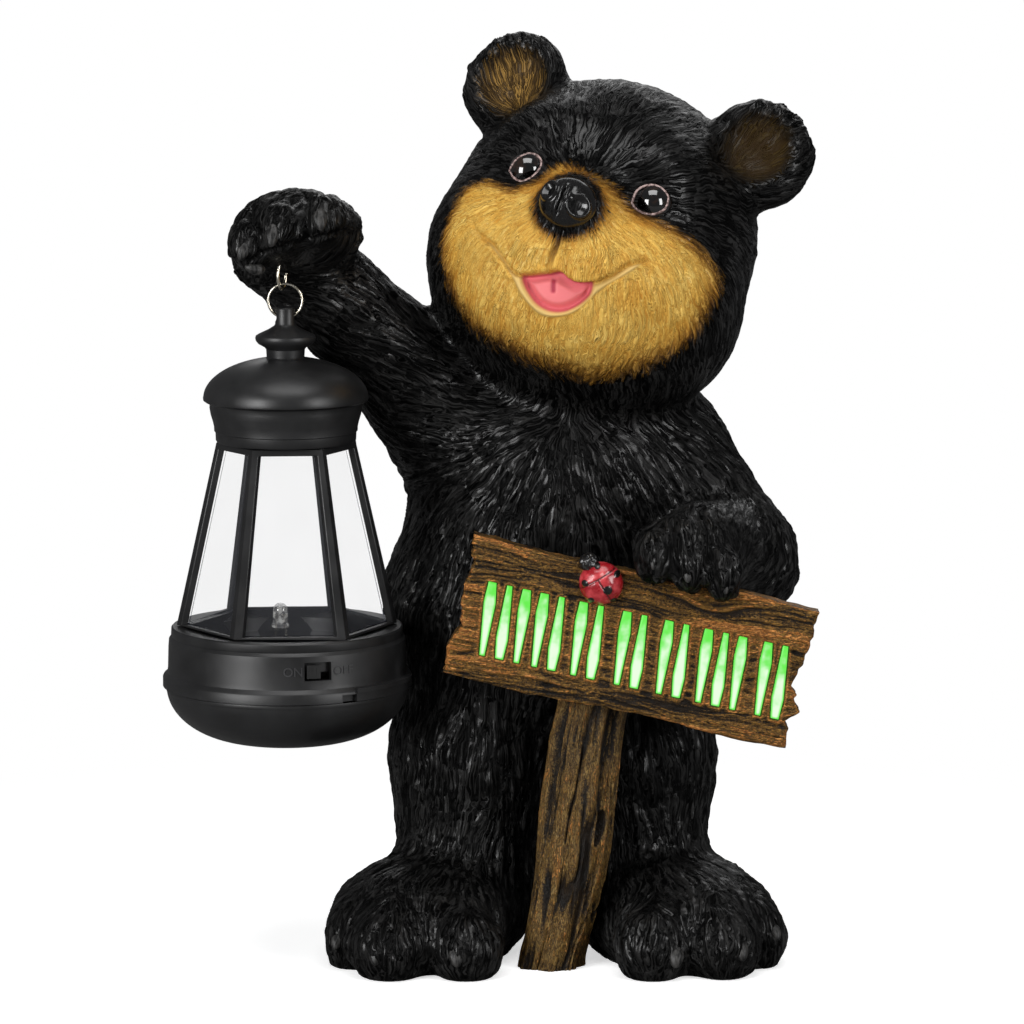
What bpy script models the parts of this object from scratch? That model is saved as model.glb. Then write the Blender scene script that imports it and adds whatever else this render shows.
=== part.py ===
"""Solar lantern bear: a cast resin bear cub that holds up a plastic lantern on a
split ring and rests its other paw on a carved welcome board on a branch.

Metres, +Z up, the bear faces -Y. The origin is on the floor between the feet.
The forms are sized in millimetres, and MM brings them to metres.
"""
import math

import bmesh
import bpy
import numpy as np
from mathutils import Matrix, Vector

MM = 0.001
GAP = 0.3                                           # clearance between touching pieces

# The bear: the head is turned to the raised paw, lifted, and tipped to the other side.
HEAD_CENTRE = (35.5, 8, 235)
HEAD_YAW, HEAD_PITCH, HEAD_ROLL = -15.5, -17, 14.5
EYE_SPREAD, EYE_RISE, EYE_RADIUS = 21.2, 9.8, 6.3
SMILE = ((-28, -17), (-20, -20), (-13, -26), (-5, -35), (5, -39), (13, -35), (18, -27), (24, -19.5),
         (29, -12))
LEG_CENTRE, LEG_SPREAD = 20.5, 27
SKIN_VOXEL = 2.6                                    # mesh size the skin is drawn at
SKIN_TRIANGLES = 5200                               # what is left after thinning

# The sign: a plank on a branch, its right end lower.
BOARD_CENTRE = (45.6, -47.5, 110.6)
BOARD_TILT = 12.4
BOARD_LENGTH, BOARD_HEIGHT, BOARD_THICK = 115, 46.5, 9
BOARD_FACE = 3.2                                    # wall in front of the light panel
PANEL_LENGTH, PANEL_HEIGHT = 107, 31
STROKE_GROUPS = ((-41.5, 3), (-27, 2), (-14, 2), (0.5, 2), (14.5, 2), (30.5, 3), (47.5, 2))
STROKE_PITCH, STROKE_HALF, STROKE_RISE = 5.7, 12.3, -2.5
POST_TOP, POST_FOOT = (37.5, -31.5, 101), (18.5, -38, 0)
POST_RADIUS, POST_FLATNESS = 10.6, 0.86
BEETLE_SPOT = (-13.7, 17.2)

# The lantern, which hangs on the wire of the split ring.
LANTERN_X, LANTERN_Y = -67, -28
SWING_Z = 214.3                                     # the ring's lowest wire, which the lug hangs on
RING_RADIUS, RING_WIRE = 5.5, 0.65
LUG_TOP_Z, LUG_HOLE_Z, LUG_HOLE = 217.7, 214.6, 1.75
RIM_Z, RIM_RADIUS, DOME_RISE = 188, 27, 13.4
COLLAR_Z, COLLAR_RADIUS = 173.7, 22.8
BASE_TOP_Z, BASE_RADIUS = 112.6, 38.3
FLANGE_Z, FLANGE_RADIUS = 93.0, 41
BOWL_Z = 74.5
CAGE_TURN = 4                                       # degrees the ribs are turned from square
CAGE_THICK, RIB_TOP, RIB_FOOT = 2.2, 2.2, 3.0       # wall, and half a rib's width
SWITCH_TURN, SWITCH_Z = 17, 103.5
SWITCH_RECESS, SWITCH_TRAVEL = (9, 6), 3.0          # its width and height, and the knob's way
TRAY_RADIUS, TRAY_DEPTH = 27.7, 8
LED_SHIFT = -2.2
WALL = 1.6


# ------------------------------------------------------------------ common tools
def clear_scene():
    for old in list(bpy.data.objects):
        bpy.data.objects.remove(old, do_unlink=True)


def turn(x=0, y=0, z=0):
    """Rotation matrix that turns about X, then Z, then Y, in degrees."""
    about = [Matrix.Rotation(math.radians(a), 3, axis) for a, axis in ((y, "Y"), (z, "Z"), (x, "X"))]
    return about[0] @ about[1] @ about[2]


def material(name, colour, roughness, metallic=0.0, transmission=0.0, glow=0.0):
    finish = bpy.data.materials.new(name)
    finish.use_nodes = True
    shader = finish.node_tree.nodes["Principled BSDF"]
    shader.inputs["Base Color"].default_value = (*colour, 1)
    shader.inputs["Roughness"].default_value = roughness
    shader.inputs["Metallic"].default_value = metallic
    shader.inputs["Transmission Weight"].default_value = transmission
    shader.inputs["Emission Color"].default_value = (*colour, 1)
    shader.inputs["Emission Strength"].default_value = glow
    return finish


def seat(thing, frame, parent=None):
    """Links an object and sets it in a frame given in millimetres, under a parent."""
    bpy.context.scene.collection.objects.link(thing)
    metric = frame.copy()
    metric.translation *= MM
    if parent:
        thing.parent = parent
        thing.matrix_parent_inverse = parent.matrix_world.inverted()
    thing.matrix_world = metric
    bpy.context.view_layer.update()
    return thing


def pivot(name, point, parent=None):
    """An empty on a joint's axis: the pieces that move with it hang under it."""
    return seat(bpy.data.objects.new(name, None), Matrix.Translation(point), parent)


def place(name, mesh, finish, frame=Matrix.Identity(4), parent=None, smooth=40):
    """Puts a bmesh made in millimetres into the scene, in metres, as one named object."""
    bmesh.ops.transform(mesh, matrix=Matrix.Scale(MM, 4), verts=mesh.verts)
    bmesh.ops.recalc_face_normals(mesh, faces=mesh.faces)
    data = bpy.data.meshes.new(name)
    mesh.to_mesh(data)
    mesh.free()
    data.materials.append(finish)
    data.shade_smooth()
    data.set_sharp_from_angle(angle=math.radians(smooth))
    return seat(bpy.data.objects.new(name, data), frame, parent)


def cutter(name, mesh, frame=Matrix.Identity(4)):
    tool = place(name, mesh, bpy.data.materials.new(name), frame)
    tool.hide_render = True
    tool.display_type = "WIRE"
    return tool


def cut(thing, tool, operation="DIFFERENCE"):
    step = thing.modifiers.new(tool.name, "BOOLEAN")
    step.operation = operation
    step.object = tool


def settle(thing):
    """Replaces an object's mesh with what its modifiers make of it."""
    bpy.context.view_layer.update()
    result = bpy.data.meshes.new_from_object(
        thing.evaluated_get(bpy.context.evaluated_depsgraph_get()))
    result.name = thing.name
    thing.modifiers.clear()
    thing.data = result


def turned(profile, steps):
    """Turns a profile of (radius, height) points, which starts and ends at radius 0, about Z."""
    mesh = bmesh.new()
    rings = []
    for radius, height in profile:
        if radius == 0:
            rings.append([mesh.verts.new((0, 0, height))] * steps)
            continue
        angles = [2 * math.pi * i / steps for i in range(steps)]
        rings.append([mesh.verts.new((radius * math.cos(a), radius * math.sin(a), height)) for a in angles])
    for lower, upper in zip(rings, rings[1:]):
        for i in range(steps):
            j = (i + 1) % steps
            corners = list(dict.fromkeys((lower[i], lower[j], upper[j], upper[i])))
            mesh.faces.new(corners)
    return mesh


def prism(outline, low, high):
    """Extrudes a closed (x, y) outline from one height to another."""
    mesh = bmesh.new()
    low = [mesh.verts.new((x, y, low)) for x, y in outline]
    high = [mesh.verts.new((x, y, high)) for x, y in outline]
    mesh.faces.new(low[::-1])
    mesh.faces.new(high)
    for i in range(len(outline)):
        j = (i + 1) % len(outline)
        mesh.faces.new((low[i], low[j], high[j], high[i]))
    return mesh


def loop_wire(radius, wire, steps, sides, stretch=1.0):
    """A closed round wire bent into a ring in the XZ plane, or into an oval link with stretch."""
    mesh = bmesh.new()
    rings = []
    for i in range(steps):
        around = 2 * math.pi * i / steps
        out = Vector((math.cos(around), 0, math.sin(around)))
        middle = Vector((out.x * radius, 0, out.z * radius * stretch))
        ring = []
        for k in range(sides):
            a = 2 * math.pi * k / sides
            offset = out * math.cos(a) * wire + Vector((0, 1, 0)) * math.sin(a) * wire
            ring.append(mesh.verts.new(middle + offset))
        rings.append(ring)
    for i in range(steps):
        near, far = rings[i], rings[(i + 1) % steps]
        for k in range(sides):
            mesh.faces.new((near[k], near[(k + 1) % sides], far[(k + 1) % sides], far[k]))
    return mesh


# ------------------------------------------------------------------ the bear's forms
HEAD_TURN = np.array(turn(HEAD_PITCH, HEAD_ROLL, HEAD_YAW))
UPRIGHT = np.identity(3)


class Ball:
    """An ellipsoid form: a centre, three radii and a rotation."""

    def __init__(self, centre, radii, rotation=UPRIGHT):
        self.centre = np.array(centre, float)
        self.radii = np.array(radii, float)
        self.rotation = rotation

    def distance(self, points):
        local = (points - self.centre) @ self.rotation
        length = np.linalg.norm(local / self.radii, axis=1)
        slope = np.linalg.norm(local / self.radii ** 2, axis=1)
        return length * (length - 1) / np.maximum(slope, 1e-6)

    def add_to(self, mesh):
        frame = (Matrix.Translation(self.centre) @ Matrix(self.rotation).to_4x4()
                 @ Matrix.Diagonal((*self.radii, 1)))
        bmesh.ops.create_uvsphere(mesh, u_segments=24, v_segments=14, radius=1, matrix=frame)


class Limb:
    """A tapered limb with round ends."""

    def __init__(self, start, end, start_radius, end_radius):
        self.start, self.end = np.array(start, float), np.array(end, float)
        self.start_radius, self.end_radius = start_radius, end_radius

    def distance(self, points):
        along = self.end - self.start
        share = np.clip((points - self.start) @ along / (along @ along), 0, 1)
        radius = self.start_radius + share * (self.end_radius - self.start_radius)
        return np.linalg.norm(points - self.start - share[:, None] * along, axis=1) - radius

    def add_to(self, mesh):
        for share in np.linspace(0, 1, 5):
            radius = self.start_radius + share * (self.end_radius - self.start_radius)
            Ball(self.start + share * (self.end - self.start), (radius,) * 3).add_to(mesh)


def on_head(x, y, z):
    return np.array(HEAD_CENTRE) + HEAD_TURN @ (x, y, z)


def head_ball(centre, radii, yaw=0):
    return Ball(on_head(*centre), radii, HEAD_TURN @ np.array(turn(z=yaw)))


def head_limb(start, end, start_radius, end_radius):
    return Limb(on_head(*start), on_head(*end), start_radius, end_radius)


def body_forms():
    """(operation, form, softness) steps of the trunk, the legs and the feet."""
    steps = [("add", Ball((25, 16, 158), (52, 39, 42)), 0),
             ("add", Ball((22, 16, 112), (58.5, 41, 50)), 16),
             ("add", Ball((20, 53, 78), (11, 16.4, 10)), 8)]                  # the tail
    for side in (-1, 1):
        leg = LEG_CENTRE + side * LEG_SPREAD
        steps += [("add", Ball((leg, 13, 66), (27, 31, 38)), 10),
                  ("add", Limb((leg, 10, 60), (leg + side * 1.5, 4, 18), 26, 24), 8),
                  ("add", Ball((leg + side * 15, -15, 11), (31.5, 45, 21.5), np.array(turn(z=side * 14))), 7)]
    return steps


def toe_forms():
    """Three toes on each foot: the inner, the middle and the small outer one."""
    toes = ((-8, -51, 12.5), (-33, -50, 13.5), (-46, -36, 9), (53, -51, 12.5), (76, -49, 12), (88, -35, 9.5))
    return [("add", Ball((x, y, 9), (radius, radius + 2, 13)), 3) for x, y, radius in toes]


def arm_forms():
    """The raised arm with its bent paw, then the arm that rests on the board."""
    steps = [("add", Limb((-12, 13, 174), (-37, 6, 202), 24, 17.8), 8),
             ("add", Limb((-37, 6, 202), (-57, -3, 223), 17.8, 17), 4),
             ("add", Ball((-63, -18, 241), (21, 19, 14.5)), 5),
             ("add", Ball((-65, -7, 231), (20, 14, 14)), 4)]
    for x, y, z in ((-77.5, -32, 238), (-68, -35, 243), (-55, -34, 246)):
        steps.append(("add", Ball((x, y, z), (8.5, 8.5, 9)), 3))
    steps += [("add", Limb((53, 13, 163), (80, -3, 132), 26.5, 20.5), 8),
              ("add", Limb((80, -3, 132), (69, -38, 140), 20.5, 15), 5),
              ("add", Ball((85, -8, 127), (15.5, 14, 14)), 6),
              ("add", Ball((63, -47, 141), (16, 13, 11)), 4)]
    for x, z in ((53, 139), (64, 136.5), (75, 133.5)):
        steps.append(("add", Ball((x, -56, z), (6.5, 7, 8.5)), 2.5))
    return steps


def skin_depth(points, forms):
    """Signed distance, in millimetres, from points to the blended forms; inside is negative."""
    depth = np.full(len(points), 1e3)
    for operation, form, softness in forms:
        other = form.distance(points)
        soft = max(softness, 1e-3)
        if operation == "add":
            share = np.clip(0.5 + 0.5 * (depth - other) / soft, 0, 1)
            depth = depth + share * (other - depth) - soft * share * (1 - share)
        else:
            share = np.clip(0.5 - 0.5 * (depth + other) / soft, 0, 1)
            depth = depth + share * (-other - depth) + soft * share * (1 - share)
    return depth


def face_point(x, z, forms, sink=0.0):
    """The point of the face in front of (x, z) on the head, sunk into it by some millimetres."""
    line = np.linspace(-80, 0, 401)
    depths = skin_depth(np.array([on_head(x, y, z) for y in line]), forms)
    return x, line[np.argmax(depths < 0)] + sink, z


def head_forms():
    """The skull, cheeks, ears, muzzle, mouth, tongue, nose and eyes."""
    steps = [("add", head_ball((0, 2, 3), (52, 46, 53)), 4),
             ("add", head_ball((3, -2, -20), (51.5, 39, 37)), 8)]
    for side in (-1, 1):
        steps += [("add", head_ball((side * 21, -12, -13), (30, 32, 28)), 10),
                  ("add", head_ball((side * 43.2, -4, 43 - side * 0.3), (18.2, 10.5, 18.6), side * 12), 5),
                  ("cut", head_ball((side * 43.6, -17, 44 - side * 0.3), (13.5, 12, 14), side * 8), 3),
                  ("add", head_ball((side * 17, -29, 22), (14, 10, 10)), 14)]
    steps += [("add", head_ball((0, -30, -17), (33, 25, 24)), 14),
              ("add", head_ball((0, -32, -33), (25, 19, 15)), 12),
              ("add", head_limb((0, -32, 8), (0, -51, -2), 12, 10.5), 10)]
    for side in (-1, 1):
        eye = face_point(side * EYE_SPREAD, EYE_RISE, steps, 3.6)
        steps.append(("add", head_ball(eye, (EYE_RADIUS,) * 3), 0.5))
    smile = [face_point(x, z, steps, -0.8) for x, z in SMILE]
    mouth = face_point(3, -29, steps)
    steps.append(("cut", head_ball(mouth, (12, 5, 9.5)), 2))
    steps += [("cut", head_limb(*ends, 2.4, 2.4), 2) for ends in zip(smile, smile[1:])]
    for side in (-1, 1):
        steps.append(("add", head_ball((side * 9, -45, -17), (12, 13, 10.3)), 3))
    steps += [("cut", head_limb((0, -62.5, -11), (1, -59.5, -24), 2, 2), 2),
              ("add", head_ball((4, mouth[1] + 7, -33), (11, 6, 8.5)), 1),
              ("add", head_ball((0, -58, -2), (9, 7.5, 8.7)), 1)]
    return steps


FORMS = body_forms() + toe_forms() + arm_forms() + head_forms()


def draw_to_skin(points, rounds=6):
    """Moves points along the field's slope until they lie on the skin."""
    for _ in range(rounds):
        depth = skin_depth(points, FORMS)
        slope = [(skin_depth(points + step, FORMS) - depth) / 0.05 for step in np.identity(3) * 0.05]
        slope = np.stack(slope, axis=1)
        size = np.maximum(np.sum(slope ** 2, axis=1), 0.2)
        points = points - np.clip(depth / size, -3, 3)[:, None] * slope
    return points


def make_bear():
    """The forms are joined, remeshed, drawn onto the blended skin, thinned, and cut off
    flat at the floor and where the board and the branch lie against the casting."""
    rough = bmesh.new()
    for operation, form, _ in FORMS:
        if operation == "add":
            form.add_to(rough)
    bear = place("bear", rough, material("black_fur", (0.012, 0.012, 0.013), 0.45), smooth=60)
    remesh = bear.modifiers.new("joined", "REMESH")
    remesh.voxel_size = SKIN_VOXEL * MM
    settle(bear)
    points = np.empty(len(bear.data.vertices) * 3)
    bear.data.vertices.foreach_get("co", points)
    points = draw_to_skin(points.reshape(-1, 3) / MM)
    bear.data.vertices.foreach_set("co", (points * MM).ravel())
    bear.data.update()

    # The face and the tail keep more of their faces than the back does.
    face = np.linalg.norm(points - on_head(0, -45, -10), axis=1) < 38
    tail = np.linalg.norm(points - (20, 62, 78), axis=1) < 15
    shares = np.where(face | tail, 1.0, np.where(points[:, 1] > 32, 0.0, 0.35))
    detail = bear.vertex_groups.new(name="detail")
    for share in np.unique(shares):
        detail.add(np.flatnonzero(shares == share).tolist(), float(share), "REPLACE")
    thin = bear.modifiers.new("thinned", "DECIMATE")
    thin.ratio = SKIN_TRIANGLES / (2 * len(bear.data.polygons))
    thin.vertex_group = "detail"
    thin.vertex_group_factor = 0.35
    thin.invert_vertex_group = True
    settle(bear)
    cut(bear, cutter("floor_cut", prism(((-200, -200), (200, -200), (200, 200), (-200, 200)), -60, 0)))
    cut(bear, cutter("board_cut", board_block(GAP), BOARD_FRAME))
    cut(bear, cutter("branch_cut", branch(GAP + 0.3)))
    cut(bear, cutter("link_cut", link_wire(GAP), LINK_FRAME))
    return bear


# ------------------------------------------------------------------ the sign
BOARD_FRAME = Matrix.Translation(BOARD_CENTRE) @ Matrix(turn(x=90, y=BOARD_TILT)).to_4x4()
BOARD_BACK, POCKET_FLOOR = -BOARD_THICK / 2, BOARD_THICK / 2 - BOARD_FACE


def board_block(margin):
    """A plain block around the plank, for what has to stay clear of it."""
    x, y, z = BOARD_LENGTH / 2 + 2 + margin, BOARD_HEIGHT / 2 + 1.2 + margin, BOARD_THICK / 2 + margin
    return prism(((-x, -y), (x, -y), (x, y), (-x, y)), -z, z)


def plank_outline():
    """The plank's edge: long sides a little wavy, ends broken along the grain."""
    x, y = BOARD_LENGTH / 2, BOARD_HEIGHT / 2
    side = np.linspace(-1, 1, 9)
    lower = [(x * s, -y + 0.7 * math.sin(5 * s + 1)) for s in side]
    upper = [(x * s, y + 0.7 * math.sin(4 * s)) for s in -side]
    right = [(x - 2.5, -y * 0.62), (x + 1.2, -y * 0.45), (x - 3, -y * 0.1), (x - 0.5, y * 0.45)]
    left = [(-x + 1.5, y * 0.6), (-x + 0.3, y * 0.2), (-x + 2.6, -y * 0.3), (-x - 0.4, -y * 0.55)]
    return lower + right + upper + left


def panel_outline(margin=0.0):
    x, y = PANEL_LENGTH / 2 - margin, PANEL_HEIGHT / 2 - margin
    return [(-x, STROKE_RISE - y), (x, STROKE_RISE - y), (x, STROKE_RISE + y), (-x, STROKE_RISE + y)]


def stroke_meshes(low, high, margin=0.0):
    """The claw-like strokes as prisms: wide at one end, tapered to the other."""
    mesh = bmesh.new()
    widths = ((-1, 0.9), (-0.35, 1.4), (0.45, 2.1), (1, 1.4))
    slant = 0.07
    for centre, count in STROKE_GROUPS:
        for i in range(count):
            middle = centre + (i - (count - 1) / 2) * STROKE_PITCH
            flip = -1 if i % 2 else 1
            rows = [(flip * along * (STROKE_HALF - margin), half - margin) for along, half in widths]
            edge = [(middle + half - slant * up, up + STROKE_RISE) for up, half in rows]
            edge += [(middle - half - slant * up, up + STROKE_RISE) for up, half in reversed(rows)]
            add_mesh(mesh, prism(edge, low, high))
    return mesh


def make_sign():
    """The plank with its windows, and the light panel whose strokes stand in them."""
    wood = material("carved_wood", (0.09, 0.045, 0.02), 0.6)
    glow = material("glowing_strokes", (0.55, 1.0, 0.5), 0.4, glow=1.0)
    board = place("sign_board", prism(plank_outline(), BOARD_BACK, BOARD_THICK / 2), wood, BOARD_FRAME)
    cut(board, cutter("pocket_cut", prism(panel_outline(), BOARD_BACK - 5, POCKET_FLOOR), BOARD_FRAME))
    cut(board, cutter("window_cut", stroke_meshes(POCKET_FLOOR - 2, BOARD_THICK), BOARD_FRAME))
    backing = prism(panel_outline(GAP), BOARD_BACK, POCKET_FLOOR - GAP)
    panel = place("sign_light", backing, glow, BOARD_FRAME, board)
    raised = stroke_meshes(POCKET_FLOOR - 1.2, BOARD_THICK / 2 - 1, GAP)
    cut(panel, cutter("raised_strokes", raised, BOARD_FRAME), "UNION")
    return board


def add_mesh(target, extra):
    """Adds one bmesh to another and frees it."""
    data = bpy.data.meshes.new("part")
    extra.to_mesh(data)
    extra.free()
    target.from_mesh(data)
    bpy.data.meshes.remove(data)


def branch(margin=0.0):
    """The post: a branch with bark ridges, a knot and a spread foot, cut flat at both ends."""
    mesh = bmesh.new()
    sides, storeys = 16, 13
    foot, top = Vector(POST_FOOT), Vector(POST_TOP)
    rings = []
    for level in range(storeys):
        share = level / (storeys - 1)
        middle = foot.lerp(top, share) + Vector((1.8 * math.sin(share * 5.5), 0, 0))
        ring = []
        for i in range(sides):
            around = 2 * math.pi * i / sides
            ridge = 0.9 * math.sin(4 * around + 2.2 * share) + 0.5 * math.sin(7 * around - 3 * share)
            spread = 2.6 * math.exp(-share / 0.05) * max(0.0, math.cos(around - 0.3))
            swell = 1.4 * math.sin(math.pi * min(share * 1.15, 1.0)) - 1.2 * (1 - share)
            radius = POST_RADIUS + ridge + spread + swell + margin
            out = Vector((math.cos(around), POST_FLATNESS * math.sin(around), 0))
            ring.append(mesh.verts.new(middle + radius * out))
        rings.append(ring)
    if margin:
        bmesh.ops.translate(mesh, verts=rings[0], vec=(0, 0, -2))
        bmesh.ops.translate(mesh, verts=rings[-1], vec=(0, 0, margin))
    for lower, upper in zip(rings, rings[1:]):
        for i in range(sides):
            mesh.faces.new((lower[i], lower[(i + 1) % sides], upper[(i + 1) % sides], upper[i]))
    mesh.faces.new(list(reversed(rings[0])))
    mesh.faces.new(rings[-1])
    return mesh


def make_post():
    post = place("sign_post", branch(), material("bark", (0.16, 0.09, 0.035), 0.65))
    cut(post, cutter("post_board_cut", board_block(GAP), BOARD_FRAME))


def dome_mesh(centre, radii):
    """The front half of an ellipsoid, flat at the back."""
    mesh = bmesh.new()
    frame = Matrix.Translation((*centre, 0)) @ Matrix.Diagonal((*radii, 1))
    bmesh.ops.create_uvsphere(mesh, u_segments=14, v_segments=8, radius=1)
    bmesh.ops.bisect_plane(mesh, geom=mesh.verts[:] + mesh.edges[:] + mesh.faces[:], dist=1e-5,
                           plane_co=(0, 0, 0), plane_no=(0, 0, -1), clear_outer=True)
    bmesh.ops.holes_fill(mesh, edges=[edge for edge in mesh.edges if edge.is_boundary])
    bmesh.ops.transform(mesh, matrix=frame, verts=mesh.verts)
    return mesh


def make_ladybug(board):
    """A domed beetle, its head up and to the left, flat against the board's face."""
    frame = BOARD_FRAME @ Matrix.Translation((*BEETLE_SPOT, BOARD_THICK / 2 + GAP))
    red = material("ladybug_red", (0.45, 0.02, 0.02), 0.3)
    beetle = place("ladybug", dome_mesh((0, 0), (7.2, 7.0, 5.6)), red, frame, board)
    cut(beetle, cutter("ladybug_head", dome_mesh((-5.2, 5.6), (3.4, 3.2, 3.2)), frame), "UNION")


# ------------------------------------------------------------------ the lantern
LANTERN = Matrix.Translation((LANTERN_X, LANTERN_Y, 0))


def make_cap(plastic, swing):
    """Lug, finial, dome and collar: one hollow moulding, open below, with a cross hole."""
    def dome(radius, rise, steps):
        return [(radius * math.cos(a), RIM_Z + rise * math.sin(a))
                for a in np.linspace(0, math.radians(76), steps)]
    outside = [(0, LUG_TOP_Z), (3.3, LUG_TOP_Z), (3.4, 211.5), (9.8, 208.4), (9.8, 206), (6.4, 204.4),
               (6.2, 201.2)] + dome(RIM_RADIUS, DOME_RISE, 6)[::-1]
    collar = [(RIM_RADIUS - 2, RIM_Z - 1.6), (COLLAR_RADIUS + 0.9, 181), (COLLAR_RADIUS, COLLAR_Z)]
    inside = [(COLLAR_RADIUS - WALL, COLLAR_Z), (RIM_RADIUS - 2 - WALL, RIM_Z - 1)]
    inside += dome(RIM_RADIUS - WALL - 1, DOME_RISE - WALL, 4)[1:] + [(0, RIM_Z + DOME_RISE - WALL)]
    cap = place("lantern_cap", turned(outside + collar + inside, 22), plastic, LANTERN, swing)
    hole = bmesh.new()
    bmesh.ops.create_cone(hole, cap_ends=True, segments=10, radius1=LUG_HOLE, radius2=LUG_HOLE, depth=12)
    across = LANTERN @ Matrix.Translation((0, 0, LUG_HOLE_Z)) @ Matrix.Rotation(math.pi / 2, 4, "Y")
    cut(cap, cutter("lug_hole", hole, across))


def hexagon(radius, height):
    angles = [math.radians(60 * i + CAGE_TURN) for i in range(6)]
    return [Vector((radius * math.cos(a), radius * math.sin(a), height)) for a in angles]


def make_cage(plastic, swing):
    """Six ribs bent round the corners of a hexagon, joined by a rail at each end."""
    mesh = bmesh.new()
    top, foot = COLLAR_Z - GAP, BASE_TOP_Z + GAP
    rail = 2.2
    corners = {}
    for skin, shrink in (("out", 0), ("in", CAGE_THICK)):
        for end, radius, height in (("foot", BASE_RADIUS - 2, foot), ("top", COLLAR_RADIUS, top)):
            corners[skin, end] = [mesh.verts.new(p) for p in hexagon(radius - shrink, height)]
    windows = {}
    for skin in ("out", "in"):
        for i in range(6):
            j = (i + 1) % 6
            outer = [corners[skin, "foot"][i], corners[skin, "foot"][j], corners[skin, "top"][j],
                     corners[skin, "top"][i]]
            quad = [corner.co for corner in outer]
            wide, narrow = (quad[1] - quad[0]).length, (quad[2] - quad[3]).length
            tall = rail / (top - foot)
            points = []
            for across, up in ((RIB_FOOT / wide, tall), (1 - RIB_FOOT / wide, tall),
                               (1 - RIB_TOP / narrow, 1 - tall), (RIB_TOP / narrow, 1 - tall)):
                low, high = quad[0].lerp(quad[1], across), quad[3].lerp(quad[2], across)
                points.append(mesh.verts.new(low.lerp(high, up)))
            windows[skin, i] = points
            for k in range(4):
                mesh.faces.new((outer[k], outer[(k + 1) % 4], points[(k + 1) % 4], points[k]))
    for i in range(6):
        j = (i + 1) % 6
        for k in range(4):
            mesh.faces.new((windows["out", i][k], windows["out", i][(k + 1) % 4],
                            windows["in", i][(k + 1) % 4], windows["in", i][k]))
        for end in ("foot", "top"):
            mesh.faces.new((corners["out", end][i], corners["out", end][j],
                            corners["in", end][j], corners["in", end][i]))
    place("lantern_cage", mesh, plastic, LANTERN, swing, 20)


def make_glazing(swing):
    """A clear sleeve of six flat panes, open at both ends, just inside the ribs."""
    mesh = bmesh.new()
    thick = 1.0
    foot, top = BASE_TOP_Z + GAP, COLLAR_Z + 4
    slope = (COLLAR_RADIUS - BASE_RADIUS + 2) / (COLLAR_Z - BASE_TOP_Z)
    rings = []
    for height, inset in ((foot, 0), (top, 0), (top, thick), (foot, thick)):
        radius = COLLAR_RADIUS - CAGE_THICK - 2 * GAP - inset + slope * (height - COLLAR_Z)
        rings.append([mesh.verts.new(p) for p in hexagon(radius, height)])
    for near, far in zip(rings, rings[1:] + rings[:1]):
        for i in range(6):
            mesh.faces.new((near[i], near[(i + 1) % 6], far[(i + 1) % 6], far[i]))
    clear = material("clear_panes", (0.9, 0.93, 0.97), 0.05, transmission=1.0)
    place("lantern_glazing", mesh, clear, LANTERN, swing, 20)


def make_base(plastic, swing):
    """The drum: a tray let into its top, a flange, an open underside and the switch."""
    floor = BASE_TOP_Z - TRAY_DEPTH
    outside = [(0, floor), (TRAY_RADIUS, floor), (TRAY_RADIUS, BASE_TOP_Z), (BASE_RADIUS, BASE_TOP_Z),
               (BASE_RADIUS + 0.6, BASE_TOP_Z - 4), (FLANGE_RADIUS - 1.4, FLANGE_Z + 4.2),
               (FLANGE_RADIUS, FLANGE_Z + 3), (FLANGE_RADIUS, FLANGE_Z)]
    inside = [(FLANGE_RADIUS - 3.4, FLANGE_Z), (FLANGE_RADIUS - 4, floor - WALL), (0, floor - WALL)]
    drum = place("lantern_base", turned(outside + inside, 24), plastic, LANTERN, swing)
    around = Matrix.Rotation(math.radians(SWITCH_TURN - 90), 4, "Z")
    wall = LANTERN @ around @ Matrix.Translation((BASE_RADIUS - 0.6, 0, SWITCH_Z))
    recess = bmesh.new()
    bmesh.ops.create_cube(recess, size=1, matrix=Matrix.Translation((2.0, 0, 0))
                          @ Matrix.Diagonal((4, *SWITCH_RECESS, 1)))
    cut(drum, cutter("switch_recess", recess, wall))
    knob = bmesh.new()
    bmesh.ops.create_cube(knob, size=1, matrix=Matrix.Diagonal((2.0, 4.4, 4.4, 1)))
    bmesh.ops.bevel(knob, geom=knob.edges[:], offset=0.4, segments=1, affect="EDGES")
    start = wall @ Matrix.Translation((1.0 + GAP, -SWITCH_TRAVEL / 2, 0))
    slide = pivot("switch_slide", start.translation, swing)
    place("switch_knob", knob, plastic, start, slide)


def make_bowl(plastic, swing):
    """The twist-off battery cover: a shallow hollow bowl with a flat underside."""
    foot, rise, reach = 13.4, FLANGE_Z - GAP - BOWL_Z, FLANGE_RADIUS - 15
    angles = np.radians((90, 68, 46, 23, 0))
    outside = [(foot + reach * math.cos(a), BOWL_Z + rise * (1 - math.sin(a))) for a in angles]
    inside = [(foot + (reach - WALL) * math.cos(a), BOWL_Z + WALL + (rise - WALL) * (1 - math.sin(a)))
              for a in angles[::-2]]
    profile = [(0, BOWL_Z)] + outside + inside + [(0, BOWL_Z + WALL)]
    place("lantern_bowl", turned(profile, 24), plastic, LANTERN, swing)


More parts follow.
